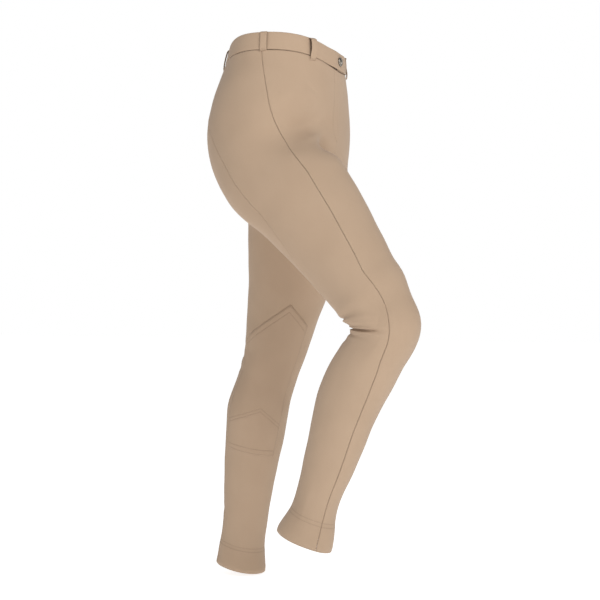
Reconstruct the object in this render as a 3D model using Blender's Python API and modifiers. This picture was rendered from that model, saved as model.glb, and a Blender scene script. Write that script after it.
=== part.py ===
"""Jodhpurs for riding, held open in the shape and stride of wear, with nobody in them.

Metres, +Z up. The origin is the centre of the waist opening, level with the band's top edge at the
side seams. The front faces -Y and the wearer's right is -X.

The form is first shaped standing straight. It is cut along its seams there, and each leg is then bent
at the hip and the knee as it is worn.
"""

import math

import bmesh
import bpy
from mathutils import Matrix, Vector
from mathutils.bvhtree import BVHTree

# Cloth and sewing, in metres.
CLOTH = 0.0016  # wall of one layer of stretch cloth
HEM_CLOTH = 0.0028  # the hem is turned up inside, so its wall is double
BAND_CLOTH = 0.0024  # doubled and stiffened waistband
PATCH_CLOTH = 0.0012
SEAM_GAP = 0.0003
HEM_FOLD = -0.972  # height of the hem's stitching, straight
CLOTH_COLOUR = (0.49, 0.36, 0.25)
METAL_COLOUR = (0.50, 0.48, 0.44)
CLOTH_ROUGHNESS, TAPE_ROUGHNESS, METAL_ROUGHNESS = 0.85, 0.7, 0.35
FORM_LEVEL = 1  # subdivision of the whole garment's cage
FINE_LEVEL = 4  # subdivision of the form that the small pieces are laid on
SNAP_SHARE = 0.2  # share of an edge within which a point moves onto a seam
PANEL_MARGIN = 20.0  # degrees, well short of the gap between the seams on the inner leg
WRAP = 0.18  # offsets further apart than this lie on both sides of the leg, not of the seam
HALVINGS = 24  # steps in finding where an edge meets a seam
PROBE = 0.001  # how far apart two places are when a slope is measured

# The form round the hips: a ring for each height, its right half and its left half alike.
HALF_COLUMNS = 8  # gaps from centre front to centre back
BAND_SQUARE = 0.92  # under 1 is squarer than an ellipse
FRONT_DROP = 0.016  # the waist dips this far in front
BACK_DROP = 0.018
SIDE_LEAN = 0.010  # and sits this much lower at the centre than on its right, twice it on its left
PELVIS_FIELDS = ("height", "half_width", "front", "back", "drop", "square", "back_square")
PELVIS = (
    (0.018, 0.1230, 0.1115, 0.0930, 1.0, BAND_SQUARE, 1.08),
    (-0.012, 0.1270, 0.1125, 0.1005, 1.0, BAND_SQUARE, 1.08),
    (-0.042, 0.1320, 0.1132, 0.1085, 1.0, BAND_SQUARE, 1.02),
    (-0.075, 0.1450, 0.1140, 0.1190, 0.8, 0.92, 0.96),
    (-0.125, 0.1600, 0.1140, 0.1280, 0.35, 0.92, 0.92),
    (-0.175, 0.1680, 0.1130, 0.1290, 0.0, 0.92, 0.92),
    (-0.222, 0.1720, 0.1070, 0.1260, 0.0, 0.96, 0.96),
)

# Under the crotch, on the centre line from front to back.
CROTCH_FIELDS = ("back", "height")
CROTCH = (
    (-0.045, -0.256),
    (0.010, -0.268),
    (0.062, -0.256),
)
CROTCH_HALF_WIDTH = 0.012

# A leg standing straight: where its middle is, and how far the cloth stands from it each way.
FIRST_COLUMN = -24.0  # degrees from the front of a leg to its first column
LEG_FIELDS = ("height", "middle_out", "middle_back", "front", "back", "outer", "inner")
LEG = (
    (-0.290, 0.0960, 0.006, 0.1190, 0.1030, 0.0800, 0.0850),
    (-0.345, 0.0960, 0.002, 0.1120, 0.0950, 0.0780, 0.0810),
    (-0.415, 0.0950, -0.002, 0.0960, 0.0860, 0.0730, 0.0740),
    (-0.490, 0.0935, -0.001, 0.0780, 0.0750, 0.0660, 0.0660),
    (-0.550, 0.0925, 0.001, 0.0720, 0.0680, 0.0620, 0.0620),
    (-0.600, 0.0910, 0.004, 0.0730, 0.0640, 0.0600, 0.0600),
    (-0.650, 0.0895, 0.008, 0.0690, 0.0620, 0.0580, 0.0580),
    (-0.715, 0.0885, 0.012, 0.0620, 0.0640, 0.0560, 0.0560),
    (-0.800, 0.0870, 0.011, 0.0560, 0.0590, 0.0500, 0.0500),
    (-0.880, 0.0860, 0.005, 0.0480, 0.0490, 0.0430, 0.0430),
    (-0.960, 0.0850, -0.002, 0.0430, 0.0460, 0.0410, 0.0410),
    (-1.018, 0.0850, -0.006, 0.0490, 0.0530, 0.0440, 0.0440),
)

# How each leg is bent and turned: right leg and left leg, in degrees.
RIGHT, LEFT = -1, 1
POSE = {
    RIGHT: {"hip": 39.3, "knee": 60.4, "turn": 4.0, "spread": 5.0},
    LEFT: {"hip": -10.6, "knee": 2.5, "turn": 22.0, "spread": 4.0},
}
HIP = Vector((0.088, 0.010, -0.200))
HIP_BEND = (-0.105, -0.340)  # the heights that the bend runs between
CROTCH_BEND = (-0.250, -0.320)
CROTCH_REACH = 0.060  # on the centre line the hip bend fades out within this
KNEE = Vector((0.091, 0.000, -0.598))
KNEE_BEND = (-0.523, -0.675)
TURN = (-0.200, -0.500)

# Seams and the patch outline, as angles round the leg's middle: 0 in front, 90 outside, 180 behind.
SEAM_FIELDS = ("height", "angle")
SIDE_SEAM = (
    (0.030, 53.0),
    (-0.060, 51.5),
    (-0.120, 47.0),
    (-0.165, 39.0),
    (-0.200, 32.6),
    (-0.230, 31.6),
    (-0.270, 37.5),
    (-0.320, 44.0),
    (-0.410, 49.5),
    (-0.490, 54.5),
    (-0.560, 61.5),
    (-0.600, 59.5),
    (-0.640, 47.5),
    (-0.690, 39.0),
    (-0.780, 37.0),
    (-0.870, 37.5),
    (-0.940, 41.0),
    (-1.030, 42.0),
)
BACK_SEAM = (
    (-0.100, 262.0),
    (-0.118, 230.0),
    (-0.134, 196.0),
    (-0.156, 165.0),
    (-0.186, 143.0),
    (-0.225, 128.0),
    (-0.270, 126.0),
    (-0.315, 131.0),
    (-0.370, 136.0),
    (-0.430, 146.0),
    (-0.520, 166.0),
    (-0.620, 183.0),
    (-0.750, 191.0),
    (-1.030, 192.0),
)
BACK_SEAM_TOP = -0.080
PATCH_APEX = (284.0, -0.477)  # angle and height of the point of its top edge
PATCH_SLOPE = 0.0010  # metres down for each degree away from the point
PATCH_FRONT, PATCH_BACK = 324.0, 204.0
PATCH_BOTTOM = -0.779
PATCH_RANGE = (-0.440, -0.820)  # the outline is cut only between these heights

# Where a leg departs from the block: the largest folds, and broad hollows and swellings (below 0).
FOLD_FIELDS = ("side", "height", "rise", "angle", "spread", "depth", "width")
FOLDS = (
    (RIGHT, -0.350, 0.000, 5.0, 80.0, 0.0040, 0.050),
    (RIGHT, -0.485, 0.000, 0.0, 110.0, -0.0020, 0.030),
    (RIGHT, -0.565, 0.000, 165.0, 100.0, -0.0080, 0.022),
    (RIGHT, -0.580, 0.000, 10.0, 90.0, 0.0125, 0.026),
    (RIGHT, -0.600, 0.010, 150.0, 75.0, -0.0100, 0.014),
    (RIGHT, -0.650, 0.000, 160.0, 100.0, 0.0100, 0.032),
    (RIGHT, -0.690, 0.000, 350.0, 110.0, -0.0055, 0.070),
    (RIGHT, -0.690, 0.000, 170.0, 110.0, 0.0060, 0.040),
    (RIGHT, -0.940, 0.000, 0.0, 100.0, 0.0080, 0.045),
    (RIGHT, -1.018, 0.000, 170.0, 110.0, -0.0110, 0.035),
    (LEFT, -0.590, 0.012, 180.0, 60.0, 0.0015, 0.012),
    (LEFT, -0.630, 0.000, 345.0, 110.0, 0.0130, 0.080),
    (LEFT, -0.700, 0.000, 200.0, 100.0, -0.0060, 0.050),
    (LEFT, -1.018, 0.000, 320.0, 90.0, -0.0050, 0.040),
)

# Waistband, from the tab's end on the wearer's left, across the front and round to the other end.
BAND_HEIGHT = 0.032
BAND_PROUD = 0.0006
TAB_END, BAND_END = -15.0, 362.0  # degrees from centre front toward the wearer's right
TAB_RISE = (22.0, 6.0)  # between these angles the band climbs over its other end
BAND_STEP = 7.25

# Belt loops, bar-tacked at both ends and standing off the band between them.
LOOP_WIDTH = 0.012
LOOP_CLOTH = 0.0016
LOOP_ANGLES = {
    "belt_loop_front_right": 39.5,
    "belt_loop_side_right": 82.0,
    "belt_loop_back_right": 145.0,
    "belt_loop_back_left": 215.0,
    "belt_loop_side_left": 278.0,
    "belt_loop_front_left": 320.5,
}
LOOP_FIELDS = ("level", "lift")
LOOP = (
    (0.0000, 0.0010),
    (-0.0040, 0.0036),
    (-0.0150, 0.0046),
    (-0.0290, 0.0034),
    (-0.0350, 0.0016),
    (-0.0390, 0.0004),
)

# Snap fastener on the tab, as its outline from the middle of its face to its edge and back.
SNAP_ANGLE, SNAP_LEVEL = 0.5, -0.016
SNAP = (
    (0.0000, 0.0044),
    (0.0035, 0.0041),
    (0.0058, 0.0031),
    (0.0064, 0.0023),
    (0.0069, 0.0026),
    (0.0076, 0.0022),
    (0.0080, 0.0012),
    (0.0080, 0.0000),
    (0.0000, 0.0000),
)
SNAP_STEPS = 20

# Zip behind the fly: a section of the tape with its chain, and the slider seen from the side.
ZIP_TOP, ZIP_BOTTOM = -0.036, -0.155
ZIP_ROWS = 8
ZIP_SET = 0.0037  # how far behind the face of the cloth its tape lies
ZIP_SECTION = (
    (-0.0130, 0.0000),
    (0.0130, 0.0000),
    (0.0130, 0.0008),
    (0.0025, 0.0008),
    (0.0025, 0.0024),
    (-0.0025, 0.0024),
    (-0.0025, 0.0008),
    (-0.0130, 0.0008),
)
SLIDER_WIDTH = 0.0070
SLIDER_DROP = 0.004  # below the top of the zip
SLIDER_OUTLINE = (
    (0.0000, 0.0000),
    (0.0026, 0.0000),
    (0.0034, -0.0020),
    (0.0034, -0.0240),
    (0.0024, -0.0240),
    (0.0024, -0.0110),
    (0.0000, -0.0110),
)


def rows(fields, table):
    """The table's rows, each a dict by column name."""
    return [dict(zip(fields, row)) for row in table]


def ease(value, start, end):
    """0 before the start, 1 past the end, and smooth between them."""
    share = min(max((value - start) / (end - start), 0.0), 1.0)
    return share * share * (3.0 - 2.0 * share)


def squared(value, power):
    return math.copysign(abs(value) ** power, value)


def waist_drop(angle):
    """How far the waist dips at an angle from the front."""
    toward = math.cos(angle)
    return FRONT_DROP * toward**4 if toward > 0.0 else BACK_DROP * toward**2


def pelvis_point(row, angle, side):
    """A point of one half's ring, angle 0 in front and pi behind."""
    square = row["square"] if math.cos(angle) > 0.0 else row["back_square"]
    across = squared(math.sin(angle), square) * row["half_width"]
    ahead = squared(math.cos(angle), square)
    ahead *= row["front"] if ahead > 0.0 else row["back"]
    drop = waist_drop(angle) + SIDE_LEAN * (1.0 + side * across / row["half_width"])
    return Vector((side * across, -ahead, row["height"] - row["drop"] * drop))


def leg_point(row, angle):
    """A point of the right leg's section, angle 0 in front and pi/2 on the outer side."""
    outward = math.sin(angle)
    outward *= row["outer"] if outward > 0.0 else row["inner"]
    ahead = math.cos(angle)
    ahead *= row["front"] if ahead > 0.0 else row["back"]
    return Vector((-row["middle_out"] - outward, row["middle_back"] - ahead, row["height"]))


def mirrored(point):
    return Vector((-point.x, point.y, point.z))


def straight_cage():
    """The whole garment's cage standing straight: a ring round the hips, then two legs."""
    cage = bmesh.new()
    pelvis_rows = rows(PELVIS_FIELDS, PELVIS)
    step = math.pi / HALF_COLUMNS
    around = 2 * HALF_COLUMNS
    rings = []
    for row in pelvis_rows:
        right = [pelvis_point(row, k * step, RIGHT) for k in range(HALF_COLUMNS + 1)]
        left = [pelvis_point(row, k * step, LEFT) for k in range(HALF_COLUMNS - 1, 0, -1)]
        rings.append([cage.verts.new(point) for point in right + left])
    for upper, lower in zip(rings, rings[1:]):
        for k in range(around):
            nxt = (k + 1) % around
            cage.faces.new((upper[k], lower[k], lower[nxt], upper[nxt]))
    last = rings[-1]
    middle = [last[0]]
    middle += [cage.verts.new((0.0, row["back"], row["height"])) for row in rows(CROTCH_FIELDS, CROTCH)]
    middle.append(last[HALF_COLUMNS])
    for side in (RIGHT, LEFT):
        sign = 1.0 if side == RIGHT else -1.0
        hip_ring = [last[k if side == RIGHT else (around - k) % around] for k in range(1, HALF_COLUMNS)]
        strip = [cage.verts.new((side * CROTCH_HALF_WIDTH, v.co.y, v.co.z)) for v in middle[1:-1]]
        edge = [hip_ring[0]] + strip + [hip_ring[-1]]
        for k in range(len(edge) - 1):
            quad = (middle[k], middle[k + 1], edge[k + 1], edge[k])
            cage.faces.new(quad if side == LEFT else quad[::-1])
        upper = hip_ring + strip[::-1]
        count = len(upper)
        first = math.radians(FIRST_COLUMN)
        for row in rows(LEG_FIELDS, LEG):
            points = [leg_point(row, first + k * 2.0 * math.pi / count) for k in range(count)]
            if side == LEFT:
                points = [mirrored(point) for point in points]
            lower = [cage.verts.new(point) for point in points]
            for k in range(count):
                nxt = (k + 1) % count
                quad = (upper[k], lower[k], lower[nxt], upper[nxt])
                cage.faces.new(quad if side == RIGHT else quad[::-1])
            upper = lower
    bmesh.ops.recalc_face_normals(cage, faces=cage.faces)
    return cage


def subdivided(cage, level):
    """The cage's smooth form as a new mesh of this many levels."""
    mesh = bpy.data.meshes.new("form")
    cage.to_mesh(mesh)
    holder = bpy.data.objects.new("form", mesh)
    bpy.context.scene.collection.objects.link(holder)
    smooth = holder.modifiers.new("smooth", "SUBSURF")
    smooth.levels = level
    smooth.render_levels = level
    form = bmesh.new()
    form.from_object(holder, bpy.context.evaluated_depsgraph_get())
    bpy.data.objects.remove(holder)
    bpy.data.meshes.remove(mesh)
    return form


def worn(point):
    """Where a point of the straight form goes when the garment is worn in stride."""
    side = RIGHT if point.x < 0.0 else LEFT
    pose = POSE[side]
    knee = Vector((side * KNEE.x, KNEE.y, KNEE.z))
    hip = Vector((side * HIP.x, HIP.y, HIP.z))
    bend = ease(-point.z, -KNEE_BEND[0], -KNEE_BEND[1]) * math.radians(pose["knee"])
    place = knee + Matrix.Rotation(bend, 3, "X") @ (point - knee)
    turn = ease(-point.z, -TURN[0], -TURN[1]) * math.radians(pose["turn"]) * side
    aside = ease(abs(point.x), 0.0, CROTCH_REACH)
    aside += (1.0 - aside) * ease(-point.z, -CROTCH_BEND[0], -CROTCH_BEND[1])
    turn *= aside
    share = aside * ease(-point.z, -HIP_BEND[0], -HIP_BEND[1])
    place = hip + Matrix.Rotation(turn, 3, "Z") @ (place - hip)
    place = hip + Matrix.Rotation(-math.radians(pose["hip"]) * share, 3, "X") @ (place - hip)
    return hip + Matrix.Rotation(-math.radians(pose["spread"]) * share * side, 3, "Y") @ (place - hip)


def along(table, height):
    """The angle that a seam's table gives at a height, on a smooth curve through its rows."""
    if height >= table[0][0]:
        return table[0][1]
    if height <= table[-1][0]:
        return table[-1][1]
    i = next(k for k in range(len(table) - 1) if table[k + 1][0] <= height)
    (h0, a0), (h1, a1) = table[i], table[i + 1]
    before = table[max(i - 1, 0)]
    after = table[min(i + 2, len(table) - 1)]
    slope0 = (a1 - before[1]) / (h1 - before[0])
    slope1 = (after[1] - a0) / (after[0] - h0)
    t = (height - h0) / (h1 - h0)
    run = h1 - h0
    return (
        a0 * (2 * t**3 - 3 * t**2 + 1)
        + slope0 * run * (t**3 - 2 * t**2 + t)
        + a1 * (3 * t**2 - 2 * t**3)
        + slope1 * run * (t**3 - t**2)
    )


def leg_middle(height):
    """How far out and how far back a leg's middle is at a height."""
    table = rows(LEG_FIELDS, LEG)
    for upper, lower in zip(table, table[1:]):
        if height >= lower["height"]:
            share = min(max((upper["height"] - height) / (upper["height"] - lower["height"]), 0.0), 1.0)
            out = upper["middle_out"] + (lower["middle_out"] - upper["middle_out"]) * share
            return out, upper["middle_back"] + (lower["middle_back"] - upper["middle_back"]) * share
    return table[-1]["middle_out"], table[-1]["middle_back"]


def leg_angle(point):
    """Degrees round the point's own leg, 0 in front and 90 on its outer side."""
    out, back = leg_middle(point.z)
    return math.degrees(math.atan2(abs(point.x) - out, back - point.y)) % 360.0


def leg_radius(point):
    out, back = leg_middle(point.z)
    return math.hypot(abs(point.x) - out, back - point.y)


def turned_from(angle, seam):
    """Degrees from a seam's angle, between -180 and 180."""
    return (angle - seam + 180.0) % 360.0 - 180.0


def from_seam(table):
    """A function that gives how far a point lies from a seam, in metres, past it counted positive."""

    def offset(point):
        arc = math.radians(turned_from(leg_angle(point), along(table, point.z))) * leg_radius(point)
        lean = math.radians(along(table, point.z + PROBE) - along(table, point.z - PROBE)) / (2.0 * PROBE)
        return arc / math.hypot(1.0, lean * leg_radius(point))

    return offset


def ring_angle(point):
    """Radians round the waist, 0 in front and positive toward the wearer's right."""
    return math.atan2(-point.x, -point.y)


def band_height(angle, level):
    """The height of a level of the band, which dips in front and leans to the left."""
    lean = SIDE_LEAN * (1.0 - squared(math.sin(angle), BAND_SQUARE))
    return level - waist_drop(angle) - lean


def from_waist_seam(point):
    return point.z - band_height(ring_angle(point), -BAND_HEIGHT)


def from_patch_top(point):
    return point.z - PATCH_APEX[1] + PATCH_SLOPE * abs(turned_from(leg_angle(point), PATCH_APEX[0]))


def from_patch_bottom(point):
    return point.z - PATCH_BOTTOM


def from_patch_edge(angle):
    def offset(point):
        return math.radians(turned_from(leg_angle(point), angle)) * leg_radius(point)

    return offset


def near_patch(point):
    return PATCH_RANGE[1] < point.z < PATCH_RANGE[0] and 180.0 < leg_angle(point) < 350.0


CENTRE, WAIST, SIDE, BACK, PATCH = 1, 2, 4, 8, 16
OFFSETS = {
    CENTRE: lambda point: point.x,
    WAIST: from_waist_seam,
    SIDE: from_seam(SIDE_SEAM),
    BACK: from_seam(BACK_SEAM),
}


def crossing(start, end, offset):
    """The share of the way from start to end at which the offset is zero."""
    low, high = 0.0, 1.0
    sign = offset(start) > 0.0
    for _ in range(HALVINGS):
        middle = 0.5 * (low + high)
        if (offset(start.lerp(end, middle)) > 0.0) == sign:
            low = middle
        else:
            high = middle
    return 0.5 * (low + high)


def cut(form, mark, offset, applies):
    """Cut the form along the line where the offset is zero, and mark the points on it.

    A point that lies close to the line moves onto it, so that no sliver is left beside the seam.
    """
    marks = form.verts.layers.int["seams"]
    value = {vert: offset(vert.co) for vert in form.verts}

    def crossed():
        for edge in list(form.edges):
            a, b = edge.verts
            if value[a] * value[b] < 0.0 and abs(value[a] - value[b]) < WRAP:
                if applies(a.co) and applies(b.co):
                    yield edge, a, b, crossing(a.co, b.co, offset)

    moves = {}
    for edge, a, b, share in crossed():
        near, far = (a, b) if share < 0.5 else (b, a)
        along_edge = min(share, 1.0 - share)
        free = near[marks] & far[marks] == near[marks]
        if free and along_edge < min(SNAP_SHARE, moves.get(near, (1.0, None))[0]):
            moves[near] = (along_edge, near.co.lerp(far.co, along_edge))
    on_line = []
    for vert, (_, place) in moves.items():
        vert.co = place
        vert[marks] |= mark
        value[vert] = 0.0
        on_line.append(vert)
    for edge, a, b, share in list(crossed()):
        kept = a[marks] & b[marks]
        _, vert = bmesh.utils.edge_split(edge, a, share)
        vert[marks] = kept | mark
        on_line.append(vert)
    bmesh.ops.connect_verts(form, verts=on_line)
    bmesh.ops.triangulate(form, faces=form.faces)


def cut_form(level):
    """The straight form in triangles, cut along every seam and round both patches."""
    form = subdivided(straight_cage(), level)
    marks = form.verts.layers.int.new("seams")
    bmesh.ops.triangulate(form, faces=form.faces)
    for vert in form.verts:
        vert[marks] = CENTRE if abs(vert.co.x) < 1e-6 else 0
    cut(form, SIDE, OFFSETS[SIDE], lambda point: True)
    cut(form, BACK, OFFSETS[BACK], lambda point: point.z < BACK_SEAM_TOP)
    cut(form, WAIST, OFFSETS[WAIST], lambda point: True)
    cut(form, PATCH, from_patch_top, near_patch)
    cut(form, PATCH, from_patch_bottom, near_patch)
    cut(form, PATCH, from_patch_edge(PATCH_FRONT), near_patch)
    cut(form, PATCH, from_patch_edge(PATCH_BACK), near_patch)
    form.normal_update()
    form.verts.index_update()
    return form


def beside(form, face, mark):
    """A point of the face that is clear of one seam, so that it tells on which side the face lies."""
    layer = form.verts.layers.int["seams"]
    clear = [vert.co for vert in face.verts if not vert[layer] & mark]
    return sum(clear, Vector()) / len(clear) if clear else face.calc_center_median()


def panel_of(form, face):
    """The name of the panel that a face of the straight form belongs to, or nothing in the band."""
    if from_waist_seam(beside(form, face, WAIST)) > 0.0:
        return None
    by_side, by_back = beside(form, face, SIDE), beside(form, face, BACK)
    start = along(SIDE_SEAM, by_side.z)
    end = along(BACK_SEAM, by_back.z)
    reach = (end - start) % 360.0 + PANEL_MARGIN
    past_side = (leg_angle(by_side) - start) % 360.0 < reach
    before_back = (end - leg_angle(by_back)) % 360.0 < reach
    side = "right" if face.calc_center_median().x < 0.0 else "left"
    return ("back_" if past_side and before_back else "front_") + side


def in_patch(form, face, side):
    """Whether a face of the straight form lies inside one leg's patch outline."""
    point = beside(form, face, PATCH)
    inside = PATCH_BACK < leg_angle(point) < PATCH_FRONT and point.x * side > 0.0
    return inside and from_patch_top(point) < 0.0 < from_patch_bottom(point)


def fold_depth(point):
    """How far the largest folds draw a point of the straight form in."""
    side = RIGHT if point.x < 0.0 else LEFT
    angle = leg_angle(point)
    depth = 0.0
    for fold in rows(FOLD_FIELDS, FOLDS):
        if fold["side"] != side:
            continue
        turn = turned_from(angle, fold["angle"]) / fold["spread"]
        rise = point.z - fold["height"] - fold["rise"] * turn
        if abs(turn) < 1.0:
            depth += fold["depth"] * (1.0 - turn * turn) * math.exp(-((rise / fold["width"]) ** 2))
    return depth


class Form:
    """The cut form, with where each of its points goes in wear and which way the cloth faces there."""

    def __init__(self, level):
        self.straight = cut_form(level)
        self.straight.faces.ensure_lookup_table()
        dressed = self.straight.copy()
        for vert in dressed.verts:
            vert.co = worn(vert.co - vert.normal * fold_depth(vert.co))
        dressed.normal_update()
        dressed.verts.ensure_lookup_table()
        self.normals = [vert.normal.copy() for vert in dressed.verts]
        dressed.free()

    def seam_shift(self, vert, faces):
        """The move that takes a point on a seam half the seam's gap into its own panel."""
        layer = self.straight.verts.layers.int["seams"]
        shift = Vector()
        for mark, offset in OFFSETS.items():
            if not vert[layer] & mark:
                continue
            slope = Vector([
                offset(vert.co + axis * PROBE) - offset(vert.co - axis * PROBE)
                for axis in (Vector((1, 0, 0)), Vector((0, 1, 0)), Vector((0, 0, 1)))
            ])
            slope -= vert.normal * slope.dot(vert.normal)
            inward = math.copysign(1.0, sum(offset(beside(self.straight, face, mark)) for face in faces))
            shift += slope.normalized() * inward * SEAM_GAP * 0.5
        return shift

    def wall(self, name, belongs, lift, thickness, seamed):
        """A closed sheet from the faces that belong, its outer face lifted off the form."""
        faces = [face for face in self.straight.faces if belongs(self.straight, face)]
        at_vert = {}
        for face in faces:
            for vert in face.verts:
                at_vert.setdefault(vert, []).append(face)
        sheet = bmesh.new()
        outer, inner = {}, {}
        for vert, around in at_vert.items():
            point = vert.co - vert.normal * fold_depth(vert.co)
            if seamed:
                point = point + self.seam_shift(vert, around)
            point = worn(point)
            facing = self.normals[vert.index]
            outer[vert] = sheet.verts.new(point + facing * lift)
            inner[vert] = sheet.verts.new(point + facing * (lift - thickness(vert.co)))
        member = set(faces)
        for face in faces:
            loop = list(face.verts)
            sheet.faces.new([outer[vert] for vert in loop])
            sheet.faces.new([inner[vert] for vert in reversed(loop)])
            for a, b in zip(loop, loop[1:] + loop[:1]):
                edge = next(edge for edge in face.edges if a in edge.verts and b in edge.verts)
                if sum(linked in member for linked in edge.link_faces) == 1:
                    sheet.faces.new((outer[b], outer[a], inner[a], inner[b]))
        return as_object(name, sheet)


def as_object(name, shape):
    """A new object of the bmesh, in the garment's collection."""
    bmesh.ops.recalc_face_normals(shape, faces=shape.faces)
    mesh = bpy.data.meshes.new(name)
    shape.to_mesh(mesh)
    shape.free()
    piece = bpy.data.objects.new(name, mesh)
    bpy.data.collections["jodhpurs"].objects.link(piece)
    return piece


def wall_thickness(point):
    return HEM_CLOTH if point.z < HEM_FOLD else CLOTH


def loft(name, sections):
    """A closed solid through sections of equal counts, capped at both ends."""
    shape = bmesh.new()
    loops = [[shape.verts.new(point) for point in section] for section in sections]
    for first, second in zip(loops, loops[1:]):
        count = len(first)
        for k in range(count):
            nxt = (k + 1) % count
            shape.faces.new((first[k], first[nxt], second[nxt], second[k]))
    shape.faces.new(loops[0][::-1])
    shape.faces.new(loops[-1])
    return as_object(name, shape)


class Surface:
    """The fine straight form, for laying small pieces on."""

    def __init__(self, level):
        form = subdivided(straight_cage(), level)
        form.normal_update()
        self.tree = BVHTree.FromBMesh(form)
        form.free()

    def at(self, angle, height):
        """The point and the way the cloth faces at an angle round the waist and a height."""
        outwards = Vector((-math.sin(angle), -math.cos(angle), 0.0))
        place, facing, _, _ = self.tree.ray_cast((0.0, 0.0, height), outwards)
        return place, facing

    def front(self, across, height):
        place, facing, _, _ = self.tree.ray_cast((across, 0.0, height), (0.0, -1.0, 0.0))
        return place, facing


def tab_lift(degrees):
    """How far the band stands off the form where it crosses over its other end."""
    over = ease(-degrees, -TAB_RISE[0], -TAB_RISE[1])
    return BAND_PROUD + over * (BAND_CLOTH + SEAM_GAP)


def make_waistband(surface):
    """The band, in one strip whose front end laps over its other end."""
    sections = []
    count = round((BAND_END - TAB_END) / BAND_STEP)
    for k in range(count + 1):
        degrees = TAB_END + (BAND_END - TAB_END) * k / count
        angle = math.radians(degrees)
        section = []
        corners = ((0.0, 0.0), (-BAND_HEIGHT, 0.0), (-BAND_HEIGHT, BAND_CLOTH), (0.0, BAND_CLOTH))
        for level, depth in corners:
            raised = level + (SEAM_GAP if level < 0.0 else 0.0)
            place, facing = surface.at(angle, band_height(angle, raised))
            section.append(place + facing * (tab_lift(degrees) - depth))
        sections.append(section)
    return loft("waistband", sections)


def make_loop(surface, name, degrees):
    """A belt loop: a strip that stands off the band and dips to it at both ends."""
    angle = math.radians(degrees)
    sections = []
    for row in rows(LOOP_FIELDS, LOOP):
        place, facing = surface.at(angle, band_height(angle, row["level"]))
        facing = Vector((facing.x, facing.y, 0.0)).normalized()
        across = Vector((-facing.y, facing.x, 0.0)) * LOOP_WIDTH * 0.5
        near = place + facing * row["lift"]
        far = near + facing * LOOP_CLOTH
        sections.append([near - across, near + across, far + across, far - across])
    return loft(name, sections)


def make_snap(surface):
    """The snap's domed cap, turned about its own axis and set on the tab."""
    outline = bpy.data.meshes.new("snap")
    edges = [(k, k + 1) for k in range(len(SNAP) - 1)]
    outline.from_pydata([(x, 0.0, z) for x, z in SNAP], edges, [])
    snap = bpy.data.objects.new("snap", outline)
    bpy.data.collections["jodhpurs"].objects.link(snap)
    turn = snap.modifiers.new("turn", "SCREW")
    turn.steps = SNAP_STEPS
    turn.render_steps = SNAP_STEPS
    turn.use_merge_vertices = True
    turn.merge_threshold = 0.0001
    angle = math.radians(SNAP_ANGLE)
    place, facing = surface.at(angle, band_height(angle, SNAP_LEVEL))
    snap.location = place + facing * (tab_lift(SNAP_ANGLE) + SEAM_GAP)
    snap.rotation_euler = facing.to_track_quat("Z", "Y").to_euler()
    return snap


def make_zip(surface):
    """Closed tape and chain, behind the fly from the band down."""
    sections = []
    for k in range(ZIP_ROWS):
        height = band_height(0.0, ZIP_TOP) + (ZIP_BOTTOM - ZIP_TOP) * k / (ZIP_ROWS - 1)
        section = []
        for across, depth in ZIP_SECTION:
            place, facing = surface.front(across, height)
            section.append(worn(place - facing * (ZIP_SET + depth)))
        sections.append(section)
    return loft("fly_zip", sections)


def make_slider(surface):
    """The zip's slider with its pull hanging from it, as one solid."""
    top = band_height(0.0, ZIP_TOP) - SLIDER_DROP
    place, _ = surface.front(0.0, top)
    chain = max(depth for _, depth in ZIP_SECTION)
    behind = place.y + ZIP_SET + chain + SEAM_GAP
    sections = []
    for across in (-SLIDER_WIDTH * 0.5, SLIDER_WIDTH * 0.5):
        sections.append([Vector((across, behind + y, top + z)) for y, z in SLIDER_OUTLINE])
    return loft("zip_slider", sections)


def material(name, colour, roughness, metallic):
    made = bpy.data.materials.new(name)
    made.use_nodes = True
    shader = made.node_tree.nodes["Principled BSDF"]
    shader.inputs["Base Color"].default_value = (*colour, 1.0)
    shader.inputs["Roughness"].default_value = roughness
    shader.inputs["Metallic"].default_value = metallic
    return made


def main():
    for old in list(bpy.data.objects):
        bpy.data.objects.remove(old)
    garment = bpy.data.collections.new("jodhpurs")
    bpy.context.scene.collection.children.link(garment)
    form = Form(FORM_LEVEL)
    surface = Surface(FINE_LEVEL)
    panels = []
    for name in ("front_right", "back_right", "front_left", "back_left"):
        panels.append(form.wall(
            name, lambda cloth, face: panel_of(cloth, face) == name, 0.0, wall_thickness, True))
    for name, side in (("knee_patch_right", RIGHT), ("knee_patch_left", LEFT)):
        panels.append(form.wall(
            name, lambda cloth, face: in_patch(cloth, face, side),
            SEAM_GAP + PATCH_CLOTH, lambda point: PATCH_CLOTH, False))
    panels.append(make_waistband(surface))
    for name, degrees in LOOP_ANGLES.items():
        panels.append(make_loop(surface, name, degrees))
    snap = make_snap(surface)
    tape = make_zip(surface)
    slider = make_slider(surface)
    for piece in panels:
        piece.data.materials.append(material(piece.name, CLOTH_COLOUR, CLOTH_ROUGHNESS, 0.0))
    tape.data.materials.append(material("fly_zip", CLOTH_COLOUR, TAPE_ROUGHNESS, 0.0))
    for piece in (snap, slider):
        piece.data.materials.append(material(piece.name, METAL_COLOUR, METAL_ROUGHNESS, 1.0))


main()
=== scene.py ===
# %% [markdown]
# # Riding jodhpurs
# These are close-fitting jodhpurs in beige stretch cotton, filled out as if worn, in a long stride.
# The solid model gives the frame: it fixes the size, the seams and the pose. This script shapes the
# same garment again with finer cloth, pressed seams, creases, stitches and a snap, and gives every
# surface its finish. All sizes are in metres, +Z is up, the front faces -Y.
#
# The frame has to be loaded before anything is made, because every piece is fitted to it.

# %% Load the frame
import math

import bmesh
import bpy
import numpy as np
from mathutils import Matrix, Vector
from mathutils.bvhtree import BVHTree


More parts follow.
